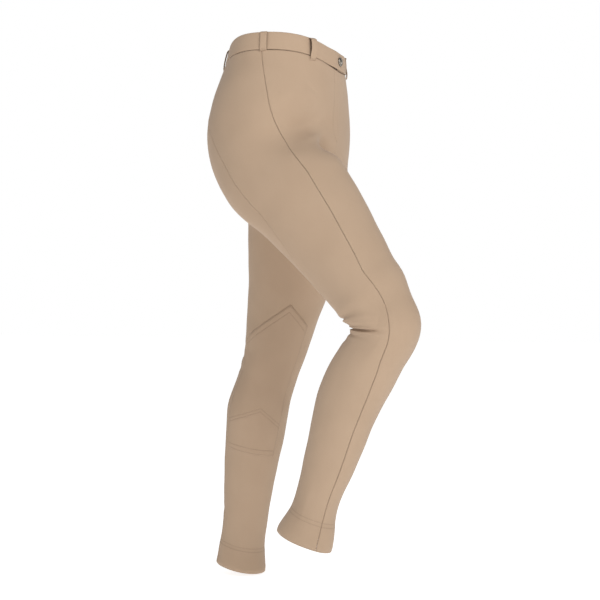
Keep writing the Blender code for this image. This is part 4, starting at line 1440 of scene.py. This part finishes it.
# %% The facing inside it
FACING_TOP, FACING_FOOT = -0.026, -0.041  # it covers the seam's raw edges from inside
FACING_SET, FACING_CLOTH = 0.0042, 0.0008
FACING_STEP = 3.0  # degrees
FACING_SHORT = (3.0, 19.0)  # it ends this many degrees short of the tab and of the other end
BAND_FOOT_PAINTED_SHADE, BAND_FOOT_WIDTH = 0.4, 0.0008  # the painted shade along the band's lower edge
UNDER_LOOP = (0.30, 0.55)  # painted shadow under a loop: dark to the first, and clear past the second, of a loop's width
facing_stops = np.arange(TAB_END + FACING_SHORT[0], BAND_END - FACING_SHORT[1], FACING_STEP)
facing_rings = []
facing_levels = np.array((FACING_TOP, 0.5 * (FACING_TOP + FACING_FOOT), FACING_FOOT))
facing_levels = np.append(facing_levels, facing_levels[::-1])
facing_depths = FACING_SET + FACING_CLOTH * np.array((0, 0, 0, 1, 1, 1))
for degrees in facing_stops:
    placed = [on_waist(degrees, level) for level in facing_levels]
    facing_rings.append([place - facing * depth for (place, facing), depth in zip(placed, facing_depths)])
more_points, more_triangles = loft(facing_rings)
more_triangles = facing_out(more_points, more_triangles) + len(points)
points, triangles = np.vstack((points, more_points)), np.concatenate((triangles, more_triangles))
facing_around = np.repeat(facing_stops * BAND_RADIUS / UV_RADIUS, len(facing_levels))
around = np.concatenate((around, facing_around, (0.0, 0.0)))
height = np.concatenate((height, np.tile(facing_levels, len(facing_stops)), (FACING_TOP, FACING_TOP)))
# painted shade along the band's lower edge, and painted shadow on the band under each loop
shade = dip(height + BAND_HEIGHT, BAND_FOOT_PAINTED_SHADE, BAND_FOOT_WIDTH)
for degrees, _, _ in LOOPS.values():
    off_loop = np.abs(turned_from(around * UV_RADIUS / BAND_RADIUS, degrees)) * DEGREE
    shade = np.maximum(shade, 1.0 - ease(off_loop / LOOP_WIDTH, *UNDER_LOOP))
band = as_mesh("waistband_cloth", points, triangles, shade, around, height, band_cotton)
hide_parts("waistband")
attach(band, "root")
print("band of", len(triangles), "triangles")

# %% [markdown]
# ## Belt loops
# Six strips of doubled cloth stand off the band so that a belt can pass. Each is sewn down at the
# top edge of the band and just below it, and bows out between the two. A smooth curve through
# a few levels gives how far a loop stands off; the ones that the lifted thigh pulls on stand
# off further. One function makes them all, from where each is, how far it stands and where it ends.

# %% The loops
LOOP = (  # level, how far the loop stands off
    (0.0006, 0.0004),
    (-0.0012, 0.0026),
    (-0.0040, 0.0040),
    (-0.0120, 0.0046),
    (-0.0220, 0.0042),
    (-0.0300, 0.0030),
    (-0.0350, 0.0016),
    (-0.0390, 0.0004),
)
LOOP_STEPS, LOOP_AROUND = 56, 24
LOOP_FLARE = 0.08  # how much wider a loop is at its sewn ends
LOOP_FOLD = 0.004  # the end is turned under for this length
LOOP_THICKER = 0.3  # and is this much thicker for it
LOOP_TIP = 0.0008  # the last of each end rounds off
LOOP_PULL = (0.004, 0.022)  # a pulled loop stands off fully this far from its top and its foot
TIP_NARROWS = 0.1  # how much narrower, as a share, a loop is at the very tip


def loop_rings(degrees, stand, foot):
    """Sections of a belt loop from its top end to its lower one."""
    top = LOOP[0][0]
    stretch = (LOOP[-1][0] - top) / (foot - top)
    made = []
    for level in np.linspace(top, foot, LOOP_STEPS):
        place, facing = on_waist(degrees, level)
        facing = facing * (1.0, 1.0, 0.0)
        facing /= np.linalg.norm(facing)
        across = np.array((-facing[1], facing[0], 0.0))
        from_end = min(top - level, level - foot)
        near_end = 1.0 - ease(from_end, 0.0, LOOP_FOLD)
        end = math.sqrt(max(1.0 - (1.0 - min(from_end / LOOP_TIP, 1.0)) ** 2, 0.002))
        width = LOOP_WIDTH * (1.0 + LOOP_FLARE * near_end) * (1.0 - TIP_NARROWS * (1.0 - end))
        thick = LOOP_CLOTH * (1.0 + LOOP_THICKER * near_end) * end
        share = ease(top - level, 0.0, LOOP_PULL[0]) * ease(level - foot, 0.0, LOOP_PULL[1])
        over = float(along(LOOP, top + (level - top) * stretch)) * (1.0 + (stand - 1.0) * share)
        turn = np.linspace(0.0, 2.0 * math.pi, LOOP_AROUND, endpoint=False)
        side = squared(np.cos(turn), 0.35) * 0.5 * width
        out = squared(np.sin(turn), 0.7) * 0.5 * thick
        middle = place + facing * (over + 0.5 * LOOP_CLOTH)
        made.append(middle + side[:, None] * across + out[:, None] * facing)
    return made


loop_pieces = {}
for name, (degrees, stand, foot) in LOOPS.items():
    points, triangles = loft(loop_rings(degrees, stand, foot))
    triangles = facing_out(points, triangles)
    around = np.linspace(0.0, LOOP_WIDTH / UV_RADIUS, LOOP_AROUND, endpoint=False)
    around = np.append(np.degrees(np.tile(around, LOOP_STEPS)), (0.0, 0.0))
    # the loops carry no painted shade
    no_painted_shade = np.zeros(len(points))
    piece = as_mesh(name + "_cloth", points, triangles, no_painted_shade, around, points[:, 2], cotton)
    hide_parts(name)
    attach(piece, "root")
    loop_pieces[name] = piece
print(len(loop_pieces), "loops of", len(triangles), "triangles each")

# %% [markdown]
# ## Snap and zip
# The tab closes with a press snap whose cap is a shallow dome inside a rolled rim, in antique
# silver: plated, darkened, then polished so that the dark stays only in the groove. The cap
# is its outline turned about its own axis. The zip behind the fly keeps the shape of the solid
# model, and only its tape and its metal get their finishes.

# %% Metal and tape
def antique_metal(name, bright, dark, roughness):
    """Plated metal, with dark left where it is worn least and fine marks from polishing."""
    made, tree, shader = new_material(name, roughness, 1.0)
    place = add_node(tree, "ShaderNodeTexCoord").outputs["Object"]
    marks = ranged(tree, noise(tree, place, 1100.0, 4.0), 0.35, 0.75)
    polished = blended(tree, marks, bright, tuple(0.82 * channel for channel in bright))
    recess = add_node(tree, "ShaderNodeAttribute", {"attribute_name": "worn"}).outputs["Fac"]
    tree.links.new(blended(tree, recess, polished, dark), shader.inputs["Base Color"])
    bump = add_node(tree, "ShaderNodeBump", inputs={"Strength": 0.15, "Distance": 0.0001})
    tree.links.new(marks, bump.inputs["Height"])
    tree.links.new(bump.outputs[0], shader.inputs["Normal"])
    return made


def woven_tape(name, colour):
    """Twill tape: fine slanting ribs."""
    made, tree, shader = new_material(name, 0.8)
    shader.inputs["Base Color"].default_value = (*colour, 1.0)
    place = add_node(tree, "ShaderNodeTexCoord").outputs["Object"]
    slant = add_node(tree, "ShaderNodeMapping", inputs={"Rotation": (0.0, math.radians(45.0), 0.0)})
    tree.links.new(place, slant.inputs["Vector"])
    ribs = add_node(tree, "ShaderNodeTexWave", {"bands_direction": "X"}, {"Scale": 300.0})
    tree.links.new(slant.outputs[0], ribs.inputs["Vector"])
    bump = add_node(tree, "ShaderNodeBump", inputs={"Strength": 0.4, "Distance": 0.0002})
    tree.links.new(ribs.outputs["Fac"], bump.inputs["Height"])
    tree.links.new(bump.outputs[0], shader.inputs["Normal"])
    return made


SILVER, PATINA = (0.46, 0.415, 0.36), (0.09, 0.075, 0.06)
snap_metal = antique_metal("antique_silver", SILVER, PATINA, 0.36)
slider_metal = antique_metal("slider_metal", SILVER, PATINA, 0.30)
tape_cotton = woven_tape("tape_twill", CLOTH_DARK)
print("metal and tape finishes made")

# %% [markdown]
# The cap is pressed from sheet, so it is round and everything about it is in its outline. The
# outline is turned about the axis that the tab faces along, in a loop, and the last column of the
# table says how dark each ring has stayed. The dark reaches the material as an attribute.

# %% The snap's cap
SNAP_ANGLE, SNAP_LEVEL = 0.5, -0.016  # degrees round the waist, and down from the band's top
SNAP = (  # distance from its axis, height over the tab, how dark
    (0.0004, 0.0044, 0.0),
    (0.0014, 0.0043, 0.0),
    (0.0026, 0.0040, 0.0),
    (0.0038, 0.0035, 0.1),
    (0.0048, 0.0028, 0.3),
    (0.0054, 0.0022, 0.8),
    (0.0058, 0.0019, 1.0),
    (0.0062, 0.0020, 0.9),
    (0.0066, 0.0024, 0.4),
    (0.0071, 0.0025, 0.1),
    (0.0076, 0.0022, 0.2),
    (0.0080, 0.0014, 0.5),
    (0.0081, 0.0006, 0.9),
    (0.0080, 0.0001, 1.0),
    (0.0070, 0.0000, 1.0),
    (0.0004, 0.0000, 1.0),
)
SNAP_AROUND = 48
place, facing = on_waist(SNAP_ANGLE, SNAP_LEVEL)
across = np.cross((0.0, 0.0, 1.0), facing)
across /= np.linalg.norm(across)
upward = np.cross(facing, across)
turn = np.linspace(0.0, 2.0 * math.pi, SNAP_AROUND, endpoint=False)[:, None]
ring = np.cos(turn) * across + np.sin(turn) * upward
seat = place + facing * (tab_lift(SNAP_ANGLE) + BAND_PUFF + SEAM_GAP)
points, triangles = loft([seat + facing * up + ring * out for out, up, _ in SNAP])
shade = np.append(np.repeat([dark for _, _, dark in SNAP], SNAP_AROUND), (0.0, 1.0))
flat_map = np.zeros(len(points))
snap = as_mesh("snap_cap", points, facing_out(points, triangles), shade, flat_map, flat_map, snap_metal)
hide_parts("snap")
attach(snap, "root")
for name, finish in (("fly_zip", tape_cotton), ("zip_slider", slider_metal)):
    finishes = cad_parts[name].data.materials
    for number in range(len(finishes)):
        finishes[number] = finish
print("snap of", len(triangles), "triangles")

# %% [markdown]
# ## Stitches
# Seams of stretch cloth are sewn from inside, so thread shows only on the hems, the patches, the fly
# and the ends of the loops. There are hundreds of stitches, all alike but for a little, which is
# what Geometry Nodes are for: a guide line is laid along each row, and a node tree repeats one
# small thread shape on it. A texture would be cheaper, but flat, and smeared where the cloth folds.

# %% Where the rows run
GUIDE_STEP = 3.0  # degrees between the points of a guide that goes round
GUIDE_DROP = 0.006  # metres between the points of one that goes down
PATCH_INSET = 0.8  # degrees that a row stops short of the patch's edge
KNEE_RADIUS = 0.055  # of the leg under a patch's edges
THREAD_RISE = 0.0001  # the middle of a stitch lies this far over the cloth
LOOK_FROM = 0.008  # the finished cloth is looked for from this far outside
cloth_parts = [np.array([v.co for v in piece.data.vertices]) for piece in cloth_pieces.values()]
cloth_counts = np.cumsum([0] + [len(part) for part in cloth_parts])
cloth_faces = [
    tuple(start + k for k in face.vertices)
    for start, piece in zip(cloth_counts, cloth_pieces.values())
    for face in piece.data.polygons
]
cloth_surface = BVHTree.FromPolygons(np.vstack(cloth_parts).tolist(), cloth_faces)


def on_leg(side, angle, height):
    """A look outwards from a leg's middle."""
    out, back = (np.interp(height, LEG_HEIGHTS, middle) for middle in (LEG_OUT, LEG_BACK))
    turn = math.radians(angle)
    return (side * out, back, height), (side * math.sin(turn), -math.cos(turn), 0.0)


def laid(looks):
    """A guide over the finished cloth: the places and facings where looks from inside come out."""
    found = [met(start, direction) for start, direction in looks]
    straight = np.array([place for place, _, _ in found])
    facing = np.array([share @ form.facing[corners] for _, corners, share in found])
    outward = unit(np.array([share @ worn_facing[corners] for _, corners, share in found]))
    places = dressed(straight, unit(facing))
    for k, (place, way) in enumerate(zip(places, outward)):
        viewpoint = Vector(place + way * LOOK_FROM)
        touched, normal, _, distance = cloth_surface.ray_cast(viewpoint, Vector(-way))
        if touched is not None and distance < 2.0 * LOOK_FROM:
            places[k], outward[k] = touched, normal
    return places + outward * THREAD_RISE, outward


def chevron_looks(side, angle, height, slope):
    """Looks along a pointed row across a patch."""
    turns = np.arange(PATCH_BACK + PATCH_INSET, PATCH_FRONT - PATCH_INSET, GUIDE_STEP)
    turns = np.sort(np.append(turns, angle))
    return [on_leg(side, turn, height - slope * abs(turn - angle)) for turn in turns]


def edge_looks(side, angle, inset):
    """Looks down one upright edge of a patch."""
    angle = angle + math.degrees(inset / KNEE_RADIUS)
    top = PATCH_APEX[1] - PATCH_SLOPE * abs(angle - PATCH_APEX[0]) - EDGE_ROW
    return [on_leg(side, angle, height) for height in np.arange(top, PATCH_ROWS[0], -GUIDE_DROP)]


rows_of = {RIGHT: [], LEFT: []}
for side in (RIGHT, LEFT):
    full_turn = np.arange(0.0, 360.0 + GUIDE_STEP, GUIDE_STEP)
    rows_of[side] += [[on_leg(side, angle, height) for angle in full_turn] for height in HEM_ROWS]
    rows_of[side] += [chevron_looks(side, *chevron) for chevron in CHEVRONS]
    rows_of[side] += [chevron_looks(side, PATCH_APEX[0], height, 0.0) for height in PATCH_ROWS]
    rows_of[side] += [edge_looks(side, PATCH_FRONT, -EDGE_ROW), edge_looks(side, PATCH_BACK, EDGE_ROW)]
rows_of[RIGHT].append([((across, 0.0, height), (0.0, -1.0, 0.0)) for across, height in FLY_ROW[:-1]])
print(len(rows_of[RIGHT]) + len(rows_of[LEFT]), "rows of stitches")

# %% Thread
def thread_cotton(name, colour):
    """Spun thread with a slight shine."""
    made, _, shader = new_material(name, 0.6)
    shader.inputs["Base Color"].default_value = (*colour, 1.0)
    shader.inputs["Specular IOR Level"].default_value = 0.3
    return made


thread = thread_cotton("thread", CLOTH_DARK)
print("thread finish made")

# %% [markdown]
# The tree turns each guide into a curve and puts points on it one pitch apart. On each point stands
# a stretched ball with few faces, turned along the line and then about it, so that it lies flat on
# the cloth. Its size varies a little with a fixed seed. The copies are made real at the end, because
# an export leaves instances out.

# %% The node tree that repeats a stitch
STITCH_INPUTS = (
    ("Pitch", "NodeSocketFloat"),
    ("Size", "NodeSocketVector"),
    ("Unevenness", "NodeSocketFloat"),
    ("Seed", "NodeSocketInt"),
    ("Material", "NodeSocketMaterial"),
)
STITCH_SIDES, STITCH_RINGS = 6, 4


def stitch_tree():
    """A node tree that lays stitches along guide lines, each turned to lie flat on the cloth."""
    tree = bpy.data.node_groups.new("stitches", "GeometryNodeTree")
    tree.interface.new_socket("Geometry", in_out="INPUT", socket_type="NodeSocketGeometry")
    for name, kind in STITCH_INPUTS:
        tree.interface.new_socket(name, in_out="INPUT", socket_type=kind)
    tree.interface.new_socket("Geometry", in_out="OUTPUT", socket_type="NodeSocketGeometry")
    given = tree.nodes.new("NodeGroupInput").outputs
    to_curve = add_node(tree, "GeometryNodeMeshToCurve")
    evenly = add_node(tree, "GeometryNodeResampleCurve", {"mode": "LENGTH"})
    stitch = add_node(tree, "GeometryNodeMeshUVSphere")
    stitch.inputs["Segments"].default_value = STITCH_SIDES
    stitch.inputs["Rings"].default_value = STITCH_RINGS
    stitch.inputs["Radius"].default_value = 0.5
    line_way = add_node(tree, "GeometryNodeInputTangent")
    cloth_way = add_node(tree, "GeometryNodeInputNamedAttribute", {"data_type": "FLOAT_VECTOR"})
    cloth_way.inputs["Name"].default_value = "facing"
    along_line = add_node(tree, "FunctionNodeAlignRotationToVector", {"axis": "X"})
    off_cloth = add_node(tree, "FunctionNodeAlignRotationToVector", {"axis": "Z", "pivot_axis": "X"})
    least = add_node(tree, "ShaderNodeMath", {"operation": "SUBTRACT"}, {0: 1.0})
    most = add_node(tree, "ShaderNodeMath", {"operation": "ADD"}, {0: 1.0})
    share = add_node(tree, "FunctionNodeRandomValue", {"data_type": "FLOAT"})
    size = add_node(tree, "ShaderNodeVectorMath", {"operation": "SCALE"})
    placed = add_node(tree, "GeometryNodeInstanceOnPoints")
    real = add_node(tree, "GeometryNodeRealizeInstances")
    finish = add_node(tree, "GeometryNodeSetMaterial")
    smooth = add_node(tree, "GeometryNodeSetShadeSmooth")
    result = tree.nodes.new("NodeGroupOutput")
    for start, end in (
        (given["Geometry"], to_curve.inputs["Mesh"]),
        (to_curve.outputs["Curve"], evenly.inputs["Curve"]),
        (given["Pitch"], evenly.inputs["Length"]),
        (evenly.outputs["Curve"], placed.inputs["Points"]),
        (stitch.outputs["Mesh"], placed.inputs["Instance"]),
        (line_way.outputs["Tangent"], along_line.inputs["Vector"]),
        (along_line.outputs["Rotation"], off_cloth.inputs["Rotation"]),
        (cloth_way.outputs["Attribute"], off_cloth.inputs["Vector"]),
        (off_cloth.outputs["Rotation"], placed.inputs["Rotation"]),
        (given["Unevenness"], least.inputs[1]),
        (given["Unevenness"], most.inputs[1]),
        (least.outputs[0], share.inputs[2]),
        (most.outputs[0], share.inputs[3]),
        (given["Seed"], share.inputs["Seed"]),
        (given["Size"], size.inputs[0]),
        (share.outputs[1], size.inputs["Scale"]),
        (size.outputs[0], placed.inputs["Scale"]),
        (placed.outputs["Instances"], real.inputs["Geometry"]),
        (real.outputs["Geometry"], finish.inputs["Geometry"]),
        (given["Material"], finish.inputs["Material"]),
        (finish.outputs["Geometry"], smooth.inputs["Geometry"]),
        (smooth.outputs["Geometry"], result.inputs["Geometry"]),
    ):
        tree.links.new(start, end)
    return tree


def stitched(name, guides, tree, **values):
    """A plain mesh of the stitches along all these guides."""
    mesh = bpy.data.meshes.new(name)
    points = np.vstack([places for places, _ in guides])
    facing = np.vstack([outward for _, outward in guides])
    first = np.cumsum([0] + [len(places) for places, _ in guides])
    edges = [(k, k + 1) for start, end in zip(first, first[1:]) for k in range(start, end - 1)]
    mesh.from_pydata(points.tolist(), edges, [])
    mesh.attributes.new("facing", "FLOAT_VECTOR", "POINT").data.foreach_set("vector", facing.ravel())
    piece = bpy.data.objects.new(name, mesh)
    bpy.context.scene.collection.objects.link(piece)
    nodes = piece.modifiers.new("stitches", "NODES")
    nodes.node_group = tree
    for socket in tree.interface.items_tree:
        if socket.in_out == "INPUT" and socket.name in values:
            nodes[socket.identifier] = values[socket.name]
    graph = bpy.context.evaluated_depsgraph_get()
    made = bpy.data.meshes.new_from_object(piece.evaluated_get(graph), depsgraph=graph)
    piece.modifiers.clear()
    piece.data = made
    print(name, len(made.polygons), "faces")
    return piece


# %% [markdown]
# Longer stitches along a line make the rows, and short dense ones across it make the bars at the
# ends of the loops. Each leg's rows become one mesh, and all the bars another.

# %% Rows and bars
ROW_PITCH, ROW_SIZE = 0.0030, (0.0024, 0.00050, 0.00045)
BAR_PITCH, BAR_SIZE = 0.0008, (0.00085, 0.0020, 0.0005)
BAR_INSET = 0.0020  # a bar lies this far from a loop's end
BAR_REACH = 0.42  # and reaches this share of the loop's width to each side
BAR_POINTS = 5
BAR_LOOK_FROM = 0.02
tree = stitch_tree()
threads = {}
for side, name in ((RIGHT, "thread_right"), (LEFT, "thread_left")):
    guides = [laid(looks) for looks in rows_of[side]]
    threads[name] = stitched(
        name, guides, tree, Pitch=ROW_PITCH, Size=ROW_SIZE, Unevenness=0.12, Seed=7 + side, Material=thread)
bars = []
for name, piece in loop_pieces.items():
    degrees, _, foot = LOOPS[name]
    corners, polygons = piece.data.vertices, piece.data.polygons
    faces = BVHTree.FromPolygons([v.co for v in corners], [f.vertices for f in polygons])
    half_turn = BAR_REACH * LOOP_WIDTH / DEGREE
    for level in (LOOP[0][0] - BAR_INSET, foot + BAR_INSET):
        places, outward = [], []
        for turn in np.linspace(-half_turn, half_turn, BAR_POINTS):
            place, facing = on_waist(degrees + turn, level)
            touched, normal, _, _ = faces.ray_cast(Vector(place + facing * BAR_LOOK_FROM), Vector(-facing))
            if touched is not None:
                places.append(touched + normal * THREAD_RISE)
                outward.append(normal)
        bars.append((np.array(places), np.array(outward)))
threads["loop_bars"] = stitched(
    "loop_bars", bars, tree, Pitch=BAR_PITCH, Size=BAR_SIZE, Unevenness=0.1, Seed=3, Material=thread)
for piece in threads.values():
    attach(piece, "root")

# %% [markdown]
# ## The flat cut
# Every piece of cloth was cut flat before it was sewn. The cut of each panel and patch is measured on
# the straight form: its length is its height, and its width the widest that a band across it comes out.

# %% Sheets
CUT_BAND = 0.06  # height of the bands in which a width is measured


def cut_of(faces):
    """The flat width, length and area of the cloth in these triangles of the straight form."""
    a, b, c = (form.co[form.tri[faces][:, k]] for k in range(3))
    area = 0.5 * np.linalg.norm(np.cross(b - a, c - a), axis=1)
    height = (a[:, 2] + b[:, 2] + c[:, 2]) / 3.0
    low, high = height.min(), height.max()
    count = max(int((high - low) / CUT_BAND), 1)
    area_across, _ = np.histogram(height, np.linspace(low, high, count + 1), weights=area)
    width = area_across.max() / ((high - low) / count)
    return (float(width), float(high - low)), float(area.sum())


for name, faces in {**PANELS, **PATCHES}.items():
    flat, area = cut_of(faces)
    print(name, "cut", [round(v, 3) for v in flat], "m, area", round(area, 4))
